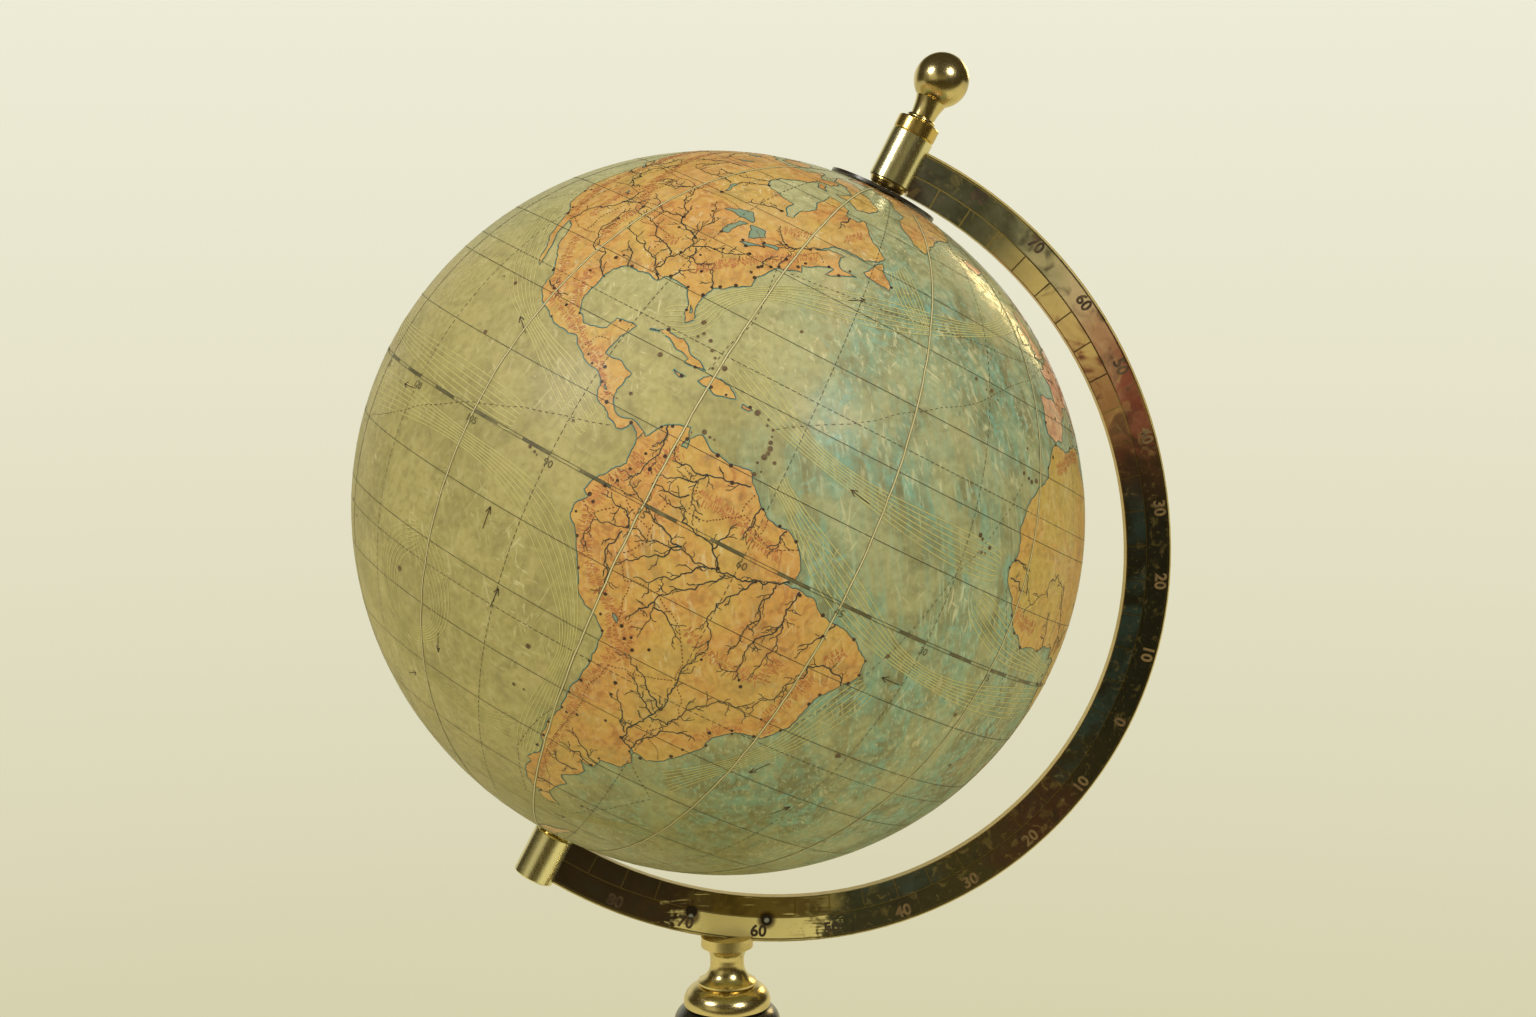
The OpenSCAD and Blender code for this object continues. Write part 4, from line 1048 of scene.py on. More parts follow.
# Shores of lakes
LAKES = """
-92 46.7,-89.5 48.1,-86.5 48.6,-84.7 47.2,-84.6 46.5,-87.5 46.5,-90.5 46.8;-87.7 41.8,-86.4 42.3,-86.3 44.5,
-85 45.8,-87 45.6,-87.9 43.8;-84.5 45.8,-81 46,-80 44.7,-81.7 43.5,-82.5 43.2,-83.4 44.9;-83.3 41.7,-81 42.6,
-79 42.8,-81.5 41.6;-79.7 43.3,-76.5 44.1,-76.3 43.5,-78.5 43.3;-97 50.5,-98.5 53,-97.5 53.7,-96.5 51;
-115.5 61,-111 62.7,-109.5 62.8,-113 61.3;-124 65.3,-120 66.8,-118 66,-121 65;-111 59,-107 59.4,-109 59.1;
-103 57.8,-102 57.6,-102.5 56.5;-70 -15.4,-69 -15.8,-68.8 -16.5;-113 41.6,-112.2 41.3,-112.6 40.7;-86 12.4,
-85 11.4,-85.6 11.5;-82 28,-81 27,-81.3 26.8;32 0.3,34 0,33.5 -2.3,32 -2.2;29.3 -3.5,30 -6,31 -8.5,29.6 -6;
34 -10,34.8 -12,35 -14,34.3 -12.5;13.5 13.5,15 13.3,14.3 12.7;47 45,51 47,53 45,53 41,54 37,50 37.5,49.3 41;
58.5 44.5,61 46,60.5 43.8;104 51.6,108 53,109.5 55.5,106.5 52.8;74 46,79 46.5,76 45.2;31 61,32.5 60.3,
31.5 59.9;34.5 62,36 61,35.3 60.9
"""

# Towns
TOWNS = """
-99.1 19.4,-96.1 19.2,-99.9 16.9,-103.3 20.7,-100.3 25.7,-106.4 23.2,-89.6 21,-82.4 23.1,-75.8 20,-66.1 18.5,
-69.9 18.5,-72.3 18.5,-76.8 18,-90.5 14.6,-89.2 13.7,-87.2 14.1,-86.3 12.1,-84.1 9.9,-79.5 9,-75.5 10.4,
-74.2 11.2,-71.6 10.6,-66.9 10.5,-64.7 10.1,-63.5 8.1,-58.2 6.8,-55.2 5.8,-52.3 4.9,-48.5 -1.4,-44.3 -2.5,
-38.5 -3.7,-35.2 -5.8,-34.9 -8,-35.7 -9.7,-38.5 -12.9,-39.1 -14.8,-40.3 -20.3,-43.2 -22.9,-46.6 -23.5,
-46.3 -24,-49.3 -25.4,-48.5 -27.6,-51.2 -30,-52.1 -32,-56.2 -34.9,-58.4 -34.6,-60.7 -32.9,-62.3 -38.7,
-63 -40.8,-57.6 -25.3,-64.2 -31.4,-65.2 -26.8,-65.4 -24.8,-68.8 -32.9,-70.6 -33.4,-71.6 -33,-73 -36.8,
-73.2 -39.8,-73.9 -42.5,-70.9 -53.1,-71.3 -29.9,-70.3 -27.1,-70.3 -23.6,-70.3 -18.5,-71.5 -16.4,-68.1 -16.5,
-65.3 -19,-67 -18,-66.2 -17.4,-63.2 -17.8,-72 -13.5,-77 -12,-79 -8.1,-80.6 -5.2,-79.9 -2.2,-79 -2.9,
-78.5 -0.2,-77.3 1.2,-76.5 3.4,-74.1 4.6,-75.6 6.2,-73.1 7.1,-60 -3.1,-54.7 -2.4,-56.1 -15.6,-49.3 -16.7,
-50 -15.9,-43.9 -19.9,-42.8 -5.1,-73.2 -3.7,-74 40.7,-75.2 40,-76.6 39.3,-77 38.9,-77.4 37.5,-76.3 36.9,
-78 34.2,-80 32.8,-81.1 32.1,-81.4 30.3,-82 27,-84.3 30.4,-88 30.7,-90.1 30,-94.8 29.3,-97.7 30.3,-98.5 29.4,
-90 35.1,-86.8 36.2,-84.4 33.7,-85.7 38.3,-84.5 39.1,-87.6 41.9,-90.2 38.6,-83 42.3,-81.7 41.5,-80 40.4,
-78.9 42.9,-73.8 42.7,-71.1 42.4,-70.3 43.7,-73.6 45.5,-71.2 46.8,-75.7 45.4,-79.4 43.7,-66.1 45.3,-63.6 44.6,
-52.7 47.6,-93.1 45,-94.6 39.1,-96 41.3,-105 39.7,-106 35.7,-111.9 40.8,-122.4 37.8,-121.5 38.6,-118.2 34,
-117.2 32.7,-122.7 45.5,-123.4 48.4,-97.1 49.9,-92.3 57,-82.5 52,-135.3 57,-17.4 14.7,-16.5 16,-13.2 8.5,
-10.8 6.3,-7.5 4.6,-1.3 5.1,-0.2 5.5,3.4 6.5,9.7 4,9.4 0.4,13.2 -8.8,-7.6 33.6,-9.8 31.5,-5.8 35.8,3 36.8,
10.2 36.8,31.2 30,18.4 -33.9,-9.1 38.7,-3.7 40.4,2.3 48.9,-0.1 51.5,4.9 52.4,13.4 52.5,16.4 48.2,12.5 41.9,
29 41,30.3 59.9,37.6 55.8,18 59.3,12.6 55.7,72.8 19,88.4 22.6,77.2 28.6,104 1.3,114.2 22.3,116.4 39.9,
139.7 35.7,106.8 -6.2,151.2 -33.9,145 -37.8,138.6 -34.9,115.9 -31.9,174.8 -36.9
"""

# Islets
ISLETS = """
-91 -0.5,-90 -0.8,-89.5 -1,-80.1 -26.3,-80 -26.4,-78.8 -33.6,-80.8 -33.7,-109.4 -27.1,-114.6 18.8,-111 18.7,
-109.2 10.3,-87 5.5,-32.4 -3.9,-29.3 -20.5,-28.9 -20.5,-14.4 -8,-5.7 -16,-12.3 -37.1,-9.9 -40.3,-59 -51.7,
-60.5 -51.8,-58.3 -51.6,-36.8 -54.4,-25.5 17.1,-24.9 16.7,-23.6 15,-24.4 14.9,-23 16,-17 32.7,-16.3 28.3,
-15.4 28,-17.8 28.7,-14 28.5,-25.5 37.8,-28.6 38.5,-27.2 38.8,-31.2 39.4,-64.7 32.3,-77.5 25,-78 24.2,
-76 24.5,-75 23.3,-74 22.5,-72 21.8,-73.5 21,-78.5 26.5,-61.5 16.2,-61.3 15.4,-61 14.6,-61 13.9,-61.2 13.2,
-59.6 13.1,-61.7 12.1,-61.4 10.5,-60.7 11.2,-62.8 17.3,-61.8 17.1,-63 18.1,-64.8 18.3,-69 12.2,-70 12.5,
-68.3 12.2,-81.7 12.5,-81.2 19.3,-62 46.5,-7 62,-1 60.5,8 3.5,6.7 0.2,7.4 1.6,-155.5 19.6,-156.5 20.8,
-158 21.5,-159.5 22,-149.4 -17.6,-151 -16.8,-140 -9.5,-139 -9.8,-138.8 -10.5,-145 -16,-130 -25,-134 -23.2,
166 -22,178 -18,179 -17,167 -15,160 -9.5,157 -8,144.8 13.5,134.5 7.5,171 7,172.5 1.5,-172 -14,-175 -21,
-170 -19,55.5 -21.1,57.6 -20.2,55.5 -4.6,73 0,73.4 4.2,43.3 -11.7,54 12.5,69.5 -49,125 -9,121 -8.5,118 -8.5,
128 -3.3,128 0.8,147.5 -43
"""

# Ocean currents
CURRENTS = """
-76 -45,-75.5 -38,-74.5 -30,-74 -22,-78.5 -14,-85 -8,-93 -5,-104 -4,-118 -4,-135 -5;-84 6,-91 10,-98 13,
-104 15.5,-110 19,-117 26,-123 33;8 -3,-5 -4,-18 -5,-30 -4,-38 -1,-46 3,-52 7,-58 11;-20 14,-32 14,-45 15,
-56 17,-63 20,-70 23;-33 -9,-36 -16,-38.5 -23,-44 -30,-50 -37;-84 24,-79.5 26,-78.5 31,-73 36,-64 39,-52 42,
-38 46,-25 50,-12 56;-95 2,-110 3,-130 4,-150 5,-170 6;-90 -56,-76 -58,-64 -57,-52 -53,-42 -50;-22 8,-12 4,
0 3,7 2;-130 -30,-115 -38,-100 -42,-88 -44,-80 -42;-105 -20,-98 -26,-98 -33,-106 -37,-113 -32,-112 -24,
-105 -20;-52 52,-48 47,-44 43;60 -12,50 -14,42 -20,35 -28,28 -35;90 -10,75 -13,60 -15;125 25,135 31,150 37,
170 40;155 -20,156 -28,153 -36
"""

# Ship routes
ROUTES = """
-6 48,-20 42,-38 32,-52 23,-62 17;-5 49,-30 46,-50 43,-72 40.5;-18 27,-28 10,-33 -5,-37 -15,-42 -23;-58 -36,
-50 -42,-62 -56,-75 -56,-78 -45,-73 -34;-80 8,-100 2,-125 -8,-150 -17;-122 37,-140 28,-158 21;-74 40,-72 30,
-74 20;18 -35,5 -20,-5 -5,-17 12
"""

# Arrows: longitude, latitude and direction in degrees
ARROWS = """
-93 -14 90,-98 -33 270,-88 -24 80,-118 -2 185,-102 13 150,-28 -7 180,-38 -26 240,-45 14 170,-60 41 30,
-66 -59 10,-110 -45 20,-30 -35 60
"""


def fresh(name: str, mesh: BMesh, finish: Material, body: str) -> Object:
    """Makes a piece from a bmesh, dresses it and lets it ride on a body.

    Args:
        name: The piece's name.
        mesh: Its finished bmesh, in place; it is freed.
        finish: Its material.
        body: The CAD body that it rides on.

    Returns:
        The piece.
    """
    data = bpy.data.meshes.new(name)
    mesh.to_mesh(data)
    mesh.free()
    data.materials.append(finish)
    data.shade_smooth()
    piece = bpy.data.objects.new(name, data)
    bpy.context.scene.collection.objects.link(piece)
    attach(piece, body)
    log.info("%s: %d faces", name, len(data.polygons))
    return piece


def number_mesh(text: str, size: float, weight: float = 0.0) -> BMesh:
    """Makes the flat mesh of a plain number, centred on the origin.

    Args:
        text: Its digits.
        size: Its height.
        weight: How far its outline is spread, as a share of the height.

    Returns:
        A bmesh in the XY plane, facing up.
    """
    curve = bpy.data.curves.new("number", "FONT")
    curve.body, curve.size, curve.align_x, curve.align_y = text, size * NUMBER_SCALE, "CENTER", "CENTER"
    curve.resolution_u = 3
    curve.offset = size * weight
    maker = bpy.data.objects.new("number", curve)
    data = bpy.data.meshes.new_from_object(maker)
    flat = bmesh.new()
    flat.from_mesh(data)
    bpy.data.objects.remove(maker)
    bpy.data.curves.remove(curve)
    bpy.data.meshes.remove(data)
    return flat


def join(sheet: BMesh, digits: BMesh) -> None:
    """Adds digits to a sheet.

    Args:
        sheet: The bmesh that takes them.
        digits: The bmesh of the digits; it is freed.
    """
    copy = bpy.data.meshes.new("digits")
    digits.to_mesh(copy)
    digits.free()
    sheet.from_mesh(copy)
    bpy.data.meshes.remove(copy)


@dataclass(frozen=True)
class SeaPaint:
    """Printed and hand-washed colours of the sea, with a painted sheen paler in the north-west and painted
    shade darker in the south.
    """
    olive: tuple = (174, 163, 103)
    moss: tuple = (156, 147, 90)
    mist: tuple = (174, 174, 128)
    # Pale tone of the painted sheen in the north
    drab: tuple = (149, 147, 100)
    blue: tuple = (146, 165, 132)
    teal: tuple = (126, 161, 134)
    pale: tuple = (170, 171, 126)
    deep: tuple = (116, 117, 78)

    def colour(self, s: Shader) -> NodeSocket:
        """Works out the sea's colour at each point, with its painted sheen and shade.

        Args:
            s: The shader it is for.

        Returns:
            A colour socket.
        """
        local = s.place(turn=(0, -AXIS_TILT, 0), shift=FROM_GLOBE)
        x, _, z = s.parts(local)
        cloud = s.noise(local, 16, 4, 0.8)
        patch = s.noise(local, 52, 6, 1.0)
        brush = s.noise(s.place((560, 560, 50), (0, 6, 0)), 1, 4, 0.4)
        wide = s.noise(s.place((150, 150, 34), (0, -5, 0)), 1, 3, 0.3)
        east = (x + cloud.sway(0.06)).rise(-0.034, 0.018)
        north = (z + cloud.sway(0.05)).rise(0.012, 0.058)
        south = (z + cloud.sway(0.04)).rise(-0.052, -0.072)
        tone = s.blend(patch.rise(0.36, 0.66), self.olive, self.moss)
        # Painted sheen: the olive sea made paler towards the north
        tone = s.blend(north * 0.75, tone, self.mist)
        other = s.blend(patch.rise(0.38, 0.62), self.drab, self.deep)
        wash = (wide.rise(0.42, 0.58) * 0.6 + brush.rise(0.44, 0.62) * 0.6 + north * 0.15).least(1)
        other = s.blend(wash * 0.8, other, s.blend(brush.rise(0.4, 0.66), self.blue, self.teal))
        streak = s.noise(s.place((1300, 1300, 42), (0, 4, 0)), 1, 3).rise(0.56, 0.66) * patch.rise(0.36, 0.5)
        other = s.blend(streak * 0.55, other, (176, 190, 156))
        fleck = s.noise(local, 260, 6, 1.2).rise(0.54, 0.64) * patch.rise(0.42, 0.6)
        other = s.blend(fleck * 0.6, other, (122, 174, 158))
        other = s.blend(patch.rise(0.52, 0.34) * 0.5, other, self.pale)
        # Painted shade: the whole sea made darker towards the south
        return s.blend(south * 0.6, s.blend(east, tone, other), self.moss)


@dataclass(frozen=True)
class MapPaint:
    """Varnished printed paper, with old scuffs, scratches, stains and gloss: a land's, or else the sea's."""
    name: str
    land: Country | None = None

    def printed(self, s: Shader) -> NodeSocket:
        """Works out the printed colour, without its wear.

        Args:
            s: The shader it is for.

        Returns:
            A colour socket.
        """
        if self.land is None:
            return SeaPaint().colour(s)
        point = s.place()
        tone, second, shade = self.land.value
        wash = s.noise(point, 60, 4, 0.8)
        relief = s.noise(point, 230, 4, 2.6)
        colour = s.blend(wash.rise(0.38, 0.62), tone, second)
        colour = s.blend(relief.rise(0.48, 0.64) * (0.2 + wash.rise(0.42, 0.6) * 0.5), colour, shade)
        stain = s.noise(point, 95, 3, 1.0)
        return s.blend(stain.rise(0.66, 0.74) * 0.5, colour, (150, 112, 92))

    def material(self) -> Material:
        """Builds the finish.

        Returns:
            The material.
        """
        s = Shader(self.name)
        point = s.place()
        colour = self.printed(s)
        mottle = s.noise(point, 620, 4, 0.4)
        colour = s.blend(mottle.rise(0.46, 0.72) * 0.26, colour, (104, 96, 62))
        colour = s.blend(mottle.rise(0.5, 0.28) * 0.18, colour, (206, 200, 156))
        blotch = s.noise(point, 110, 6, 0.9)
        colour = s.blend(blotch.rise(0.54, 0.7) * 0.26, colour, (120, 114, 76))
        grime = s.noise(point, 34, 5, 1.0)
        colour = s.blend(grime.rise(0.56, 0.74) * 0.25, colour, (196, 166, 122))
        scratch = self.scratches(s)
        colour = s.blend((scratch * 0.55).least(1), colour, (216, 208, 164))
        speck = s.noise(point, 1500, 2).rise(0.74, 0.8) * s.noise(point, 60, 2).rise(0.5, 0.65)
        colour = s.blend(speck * 0.6, colour, (96, 70, 44))
        shine = s.noise(point, 1100, 3).rise(0.6, 0.72) * s.noise(point, 38, 3).rise(0.5, 0.62)
        x, y, z = s.parts(s.place(shift=FROM_GLOBE))
        limb = (x * 0.68 - y * 0.29 + z * 0.65).rise(0.062, 0.076) * (0.2 + mottle.rise(0.42, 0.58) * 0.8)
        gloss = 0.5 + scratch * 0.2 + grime.rise(0.4, 0.7) * 0.1 - (shine * 0.3).most(limb * 0.25)
        height = scratch * -0.6 + mottle * 0.3 + grime * 0.4
        coat = (0.1 + shine * 0.4 + limb * 0.9).least(1)
        return s.finish({"Base Color": colour, "Roughness": gloss, "Coat Weight": coat,
                         "Coat Roughness": 0.18, "Normal": s.bump(height, 0.18, 0.00008)})

    def scratches(self, s: Shader) -> Level:
        """Fine scratches in several directions, and the scuffed patches round them.

        Args:
            s: The shader it is for.

        Returns:
            A Level from 0 to 1.
        """
        first, *others = [s.noise(s.place(scale, turn), 1, 2).rise(0.63, 0.74) for turn, scale in (
            ((0, 12, 0), (1500, 600, 36)), ((12, -10, 10), (1700, 600, 40)),
            ((-15, -38, 20), (1600, 600, 34)), ((10, 58, -10), (1500, 600, 30)))]
        for line in others:
            first = first.most(line)
        where = s.noise(s.place(), 42, 4, 0.6).rise(0.42, 0.66)
        rub_and_highlight = s.noise(s.place((760, 760, 190), (0, 6, 0)), 1, 5, 0.5).rise(0.57, 0.68)
        rub_and_highlight = rub_and_highlight * s.noise(s.place(), 26, 3).rise(0.5, 0.64)
        return (first * where).most(rub_and_highlight * 0.8).least(1)


class Ink(Enum):
    """Printing inks and paints of lines, and the painted shadow beside the gore edges: the full tone, and the
    tone where it is worn thin.
    """
    SHORE_BLUE = ((112, 148, 132), (150, 156, 108))
    SHORE_INK = ((46, 70, 66), (70, 92, 84))
    NET_INK = ((62, 62, 44), (100, 96, 68))
    RIVER_INK = ((40, 52, 52), (66, 70, 56))
    RELIEF_INK = ((172, 104, 58), (196, 128, 74))
    BORDER_INK = ((104, 62, 36), (140, 92, 54))
    LAKE_BLUE = ((122, 144, 122), (138, 150, 116))
    LAKE_INK = ((44, 70, 76), (74, 92, 86))
    MARK_INK = ((58, 40, 26), (84, 62, 40))
    ISLET_INK = ((92, 70, 44), (120, 96, 60))
    PALE_INK = ((196, 188, 118), (176, 172, 112))
    EQUATOR_INK = ((88, 82, 52), (118, 110, 72))
    # Painted shadow: the dark line beside each raised gore edge
    GAP_DIRT = ((84, 76, 48), (138, 130, 88))
    PAPER_EDGE = ((206, 196, 146), (184, 176, 122))
    ENGRAVED_DARK = ((58, 42, 24), (96, 74, 42))
    ENGRAVED_BRIGHT = ((118, 94, 52), (80, 60, 34))

    def material(self) -> Material:
        """Builds the finish.

        Returns:
            The material.
        """
        s = Shader(self.name.lower())
        thin = s.noise(s.place(), 420, 4, 0.4).rise(0.4, 0.75)
        return s.finish({"Base Color": s.blend(thin, *self.value), "Roughness": 0.52 + thin * 0.1,
                         "Coat Weight": 0.1, "Coat Roughness": 0.2})


@dataclass
class PrintedMap:
    """The map printed on the gores: its sea, lands, waters, lines and marks, all riding on the globe.

    Attributes:
        ball: The globe's surface.
        chance: Seeded random source of every rough line.
        coasts: Rough coasts by the land's name.
        body: CAD body that the map rides on.
        paper: Name of a material slot for the map; nothing reads it.
        segments: Cells of the sea round the axis, and from pole to pole.
        cell: Widest piece of a land, in degrees.
        net_step: Degrees between the net's meridians.
        gore_step: Width of a gore, in degrees.
        lanes: Lines on each side of a current's middle.
        head: Length of an arrow's shaft and of its barbs, in degrees, and the barbs' angle in radians.
    """
    ball: Ball = field(default_factory=Ball)
    chance: random.Random = field(default_factory=lambda: random.Random(1880))
    coasts: dict = field(default_factory=dict)
    body: str = "globe"
    paper: str = "map_paper"
    segments: tuple = (288, 144)
    cell: float = 2.0
    net_step: int = 15
    gore_step: int = 30
    lanes: int = 3
    head: tuple = (3.4, 1.1, 0.42)

    def rough(self, points: list, step: float, share: float, closed: bool = False) -> list:
        """Roughens a line with the map's own random source.

        Args:
            points: Its points in degrees.
            step: Pieces longer than this are halved, in degrees.
            share: How far a middle point moves, as a share of its piece.
            closed: Whether the last point joins the first.

        Returns:
            The finer line.
        """
        return roughened(points, self.chance, step, share, closed)

    def build(self) -> None:
        """Builds every layer of the map."""
        self.sea()
        self.coasts = {land.name: self.rough(pairs(land.coast), step=0.7, share=0.11, closed=True)
                       for land in LANDS}
        for layer in (self.lands, self.shores, self.net, self.rivers, self.relief, self.borders,
                      self.lakes, self.marks, self.flows, self.equator, self.seams):
            layer()

    def sea(self) -> None:
        """Makes the paper skin that stands for the gores and caps."""
        skin = bmesh.new()
        around, upwards = self.segments
        bmesh.ops.create_uvsphere(skin, u_segments=around, v_segments=upwards, radius=1)
        wide, tall = (GLOBE_R - Layer.SKIN.value) * MM, (GLOBE_POLE_R - Layer.SKIN.value) * MM
        bmesh.ops.scale(skin, vec=(wide, wide, tall), verts=skin.verts)
        place = Matrix.Translation(self.ball.centre) @ self.ball.turned()
        bmesh.ops.transform(skin, matrix=place, verts=skin.verts)
        piece = fresh("map_sea", skin, MapPaint("sea_print").material(), self.body)
        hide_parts("paper_gores", "polar_caps")

    def lay(self, name: str, flat: BMesh, layer: Layer, finish: Material) -> None:
        """Cuts a flat drawing in degrees into cells and wraps it round the globe.

        Args:
            name: The piece's name.
            flat: The drawing, X longitude and Y latitude.
            layer: Its printed layer.
            finish: Its material.
        """
        self.cut(flat)
        for corner in flat.verts:
            corner.co = self.ball.spot(corner.co.x, corner.co.y, layer)
        self.ball.face_out(flat)
        fresh(name, flat, finish, self.body)

    def filled(self, outline: list, sheet: BMesh) -> None:
        """Fills an outline into a flat drawing.

        Args:
            outline: Its points in degrees.
            sheet: The drawing that takes it.
        """
        corners = [sheet.verts.new((lon, lat, 0)) for lon, lat in outline]
        edges = [sheet.edges.new((a, b)) for a, b in zip(corners, corners[1:] + corners[:1])]
        bmesh.ops.triangle_fill(sheet, use_beauty=True, use_dissolve=False, edges=edges)

    def cut(self, sheet: BMesh) -> None:
        """Cuts a flat drawing into small cells, so that it follows the ball.

        Args:
            sheet: The drawing in degrees.
        """
        for axis in (0, 1):
            low = min(v.co[axis] for v in sheet.verts)
            high = max(v.co[axis] for v in sheet.verts)
            for step in range(math.ceil(low / self.cell), math.floor(high / self.cell) + 1):
                place, facing = [0, 0, 0], [0, 0, 0]
                place[axis], facing[axis] = step * self.cell, 1
                bmesh.ops.bisect_plane(sheet, geom=sheet.verts[:] + sheet.edges[:] + sheet.faces[:],
                                       dist=1e-6, plane_co=place, plane_no=facing)

    def lands(self) -> None:
        """Makes the coloured lands, one piece for each printed colour."""
        for country in Country:
            sheet = bmesh.new()
            for land in LANDS:
                if land.colour is country:
                    self.filled(self.coasts[land.name], sheet)
            name = country.name.lower()
            self.lay("lands_" + name, sheet, Layer.LAND, MapPaint(name + "_land", country).material())

    def strokes(self, name: str, lines: list, layer: Layer, finish: Material) -> None:
        """Draws lines as thin ribbons on the globe.

        Args:
            name: The piece's name.
            lines: The strokes.
            layer: Their printed layer.
            finish: Their material.
        """
        sheet, across = bmesh.new(), []
        for line in lines:
            spots = [self.ball.spot(lon, lat, layer) for lon, lat in densified(line.points)]
            last = None
            for i, spot in enumerate(spots):
                ahead = spots[min(i + 1, len(spots) - 1)] - spots[max(i - 1, 0)]
                side = ahead.cross(self.ball.outward(spot)).normalized() * (line.width * MM)
                corner = sheet.verts.new(spot - side / 2)
                across.append(side)
                if last is not None:
                    sheet.edges.new((last, corner))
                last = corner
        sheet.verts.index_update()
        count = len(across)
        made = bmesh.ops.extrude_edge_only(sheet, edges=sheet.edges[:])["geom"]
        for corner in [g for g in made if isinstance(g, BMVert)]:
            for edge in corner.link_edges:
                root = edge.other_vert(corner)
                if 0 <= root.index < count and (root.co - corner.co).length < 1e-9:
                    corner.co = root.co + across[root.index]
                    break
        self.ball.face_out(sheet)
        fresh(name, sheet, finish, self.body)

    def shores(self) -> None:
        """Draws the coast lines, with the blue wash outside them."""
        loops = [tuple(line + line[:1]) for line in self.coasts.values()]
        for name, width, layer, ink in (("shore_wash", 0.5, Layer.SHORE, Ink.SHORE_BLUE),
                                        ("shore_lines", 0.15, Layer.WATER, Ink.SHORE_INK)):
            self.strokes(name, [Stroke(loop, width) for loop in loops], layer, ink.material())

    def net(self) -> None:
        """Draws meridians, parallels and the tropics."""
        lines = [Stroke(((FIRST_EAST + lon, lat), (FIRST_EAST + lon, lat + 0.62)), width=0.13)
                 for lon in range(-180, 180, self.net_step) for lat in range(-CAP_LAT, CAP_LAT)]
        rings = [(lat, 0.12) for lat in range(-CAP_LAT, CAP_LAT + 1, 10) if lat]
        rings += [(-0.22, 0.1), (0.22, 0.1)]
        lines += [Stroke(tuple((lon, lat) for lon in range(-180, 181, 2)), width) for lat, width in rings]
        for ring in (-66.5, -23.5, 23.5, 66.5):
            lines += [Stroke(((lon, ring), (lon + 0.7, ring)), width=0.13) for lon in range(-180, 180)]
        self.strokes("degree_net", lines, Layer.LINE, Ink.NET_INK.material())

    def seams(self) -> None:
        """Draws the pale edges where the gores meet, with a painted shadow as a dark line beside them."""
        seams = [tuple((FIRST_EAST + lon + self.chance.uniform(-0.08, 0.08), lat)
                       for lat in range(-CAP_LAT, CAP_LAT + 1, 2))
                 for lon in range(-self.gore_step // 2, 360 - self.gore_step // 2, self.gore_step)]
        # The wider dark ribbon under the pale edges is painted shadow
        for name, width, layer, ink in (("gore_gaps", 0.5, Layer.LINE, Ink.GAP_DIRT),
                                        ("gore_edges", 0.27, Layer.SEAM, Ink.PAPER_EDGE)):
            self.strokes(name, [Stroke(line, width) for line in seams], layer, ink.material())

    def outside(self, lon: float, lat: float) -> bool:
        """Tells whether a place is sea.

        Args:
            lon: Degrees east.
            lat: Degrees north.

        Returns:
            True where no land covers it.
        """
        for outline in self.coasts.values():
            crossings = sum(1 for (x0, y0), (x1, y1) in zip(outline, outline[1:] + outline[:1])
                            if (y0 > lat) != (y1 > lat) and lon < (x1 - x0) * (lat - y0) / (y1 - y0) + x0)
            if crossings % 2:
                return False
        return True

    def rivers(self) -> None:
        """Draws rivers with their winding tributaries."""
        lines = []
        for river in courses(RIVERS):
            course = self.rough(river, step=0.5, share=0.2)
            count = len(course)
            for i, (a, b) in enumerate(zip(course, course[1:])):
                lines.append(Stroke((a, b), 0.27 - 0.15 * i / count))
            for i in range(4, count - 2, self.chance.choice((4, 5, 6))):
                lines += self.branch(course[i], course[i + 1], self.chance.choice((-1, 1)), 1)
        self.strokes("rivers", lines, Layer.LINE, Ink.RIVER_INK.material())

    def branch(self, root: tuple, ahead: tuple, side: int, depth: int) -> list:
        """Draws one winding tributary, perhaps with its own.

        Args:
            root: Where it joins.
            ahead: The next point upstream.
            side: 1 or -1 for the bank.
            depth: How many more levels it may have.

        Returns:
            Its strokes.
        """
        run = math.atan2(ahead[1] - root[1], ahead[0] - root[0])
        turn = run + side * math.radians(self.chance.uniform(25, 65))
        end = polar(root, turn, self.chance.uniform(0.8, 2.6) * (1 if depth else 0.5))
        if self.outside(*end):
            return []
        course = self.rough([root, end], step=0.35, share=0.24)
        lines = [Stroke(tuple(course), width=0.12)]
        if depth and len(course) > 5:
            lines += self.branch(course[3], course[4], -side, depth - 1)
        return lines

    def relief(self) -> None:
        """Draws mountain hachures on both sides of each range."""
        lines = []
        for crest in courses(RANGES):
            crest = self.rough(crest, step=0.34, share=0.1)
            for foot, ahead in zip(crest, crest[1:]):
                run = math.atan2(ahead[1] - foot[1], ahead[0] - foot[0])
                for side in (-1, 1):
                    turn = run + side * math.radians(90 + self.chance.uniform(-28, 28))
                    near, far = self.chance.uniform(0.02, 0.2), self.chance.uniform(0.5, 1.25)
                    lines.append(Stroke((polar(foot, turn, near), polar(foot, turn, far)), width=0.17))
        lines = [line for line in lines if not self.outside(*line.points[1])]
        self.strokes("mountain_hatching", lines, Layer.SHADE, Ink.RELIEF_INK.material())

    def borders(self) -> None:
        """Draws the dotted borders of states."""
        dots = []
        for border in courses(BORDERS):
            dots += [Stroke(dash, width=0.2) for dash in dashed(self.rough(border, step=1.2, share=0.1), 0.3)]
        self.strokes("state_borders", dots, Layer.LINE, Ink.BORDER_INK.material())

    def lakes(self) -> None:
        """Fills the lakes."""
        sheet, rims = bmesh.new(), []
        for lake in courses(LAKES):
            outline = self.rough(lake, step=0.6, share=0.12, closed=True)
            self.filled(outline, sheet)
            rims.append(Stroke(tuple(outline + outline[:1])))
        self.lay("lakes", sheet, Layer.WATER, Ink.LAKE_BLUE.material())
        self.strokes("lake_shores", rims, Layer.LINE, Ink.LAKE_INK.material())

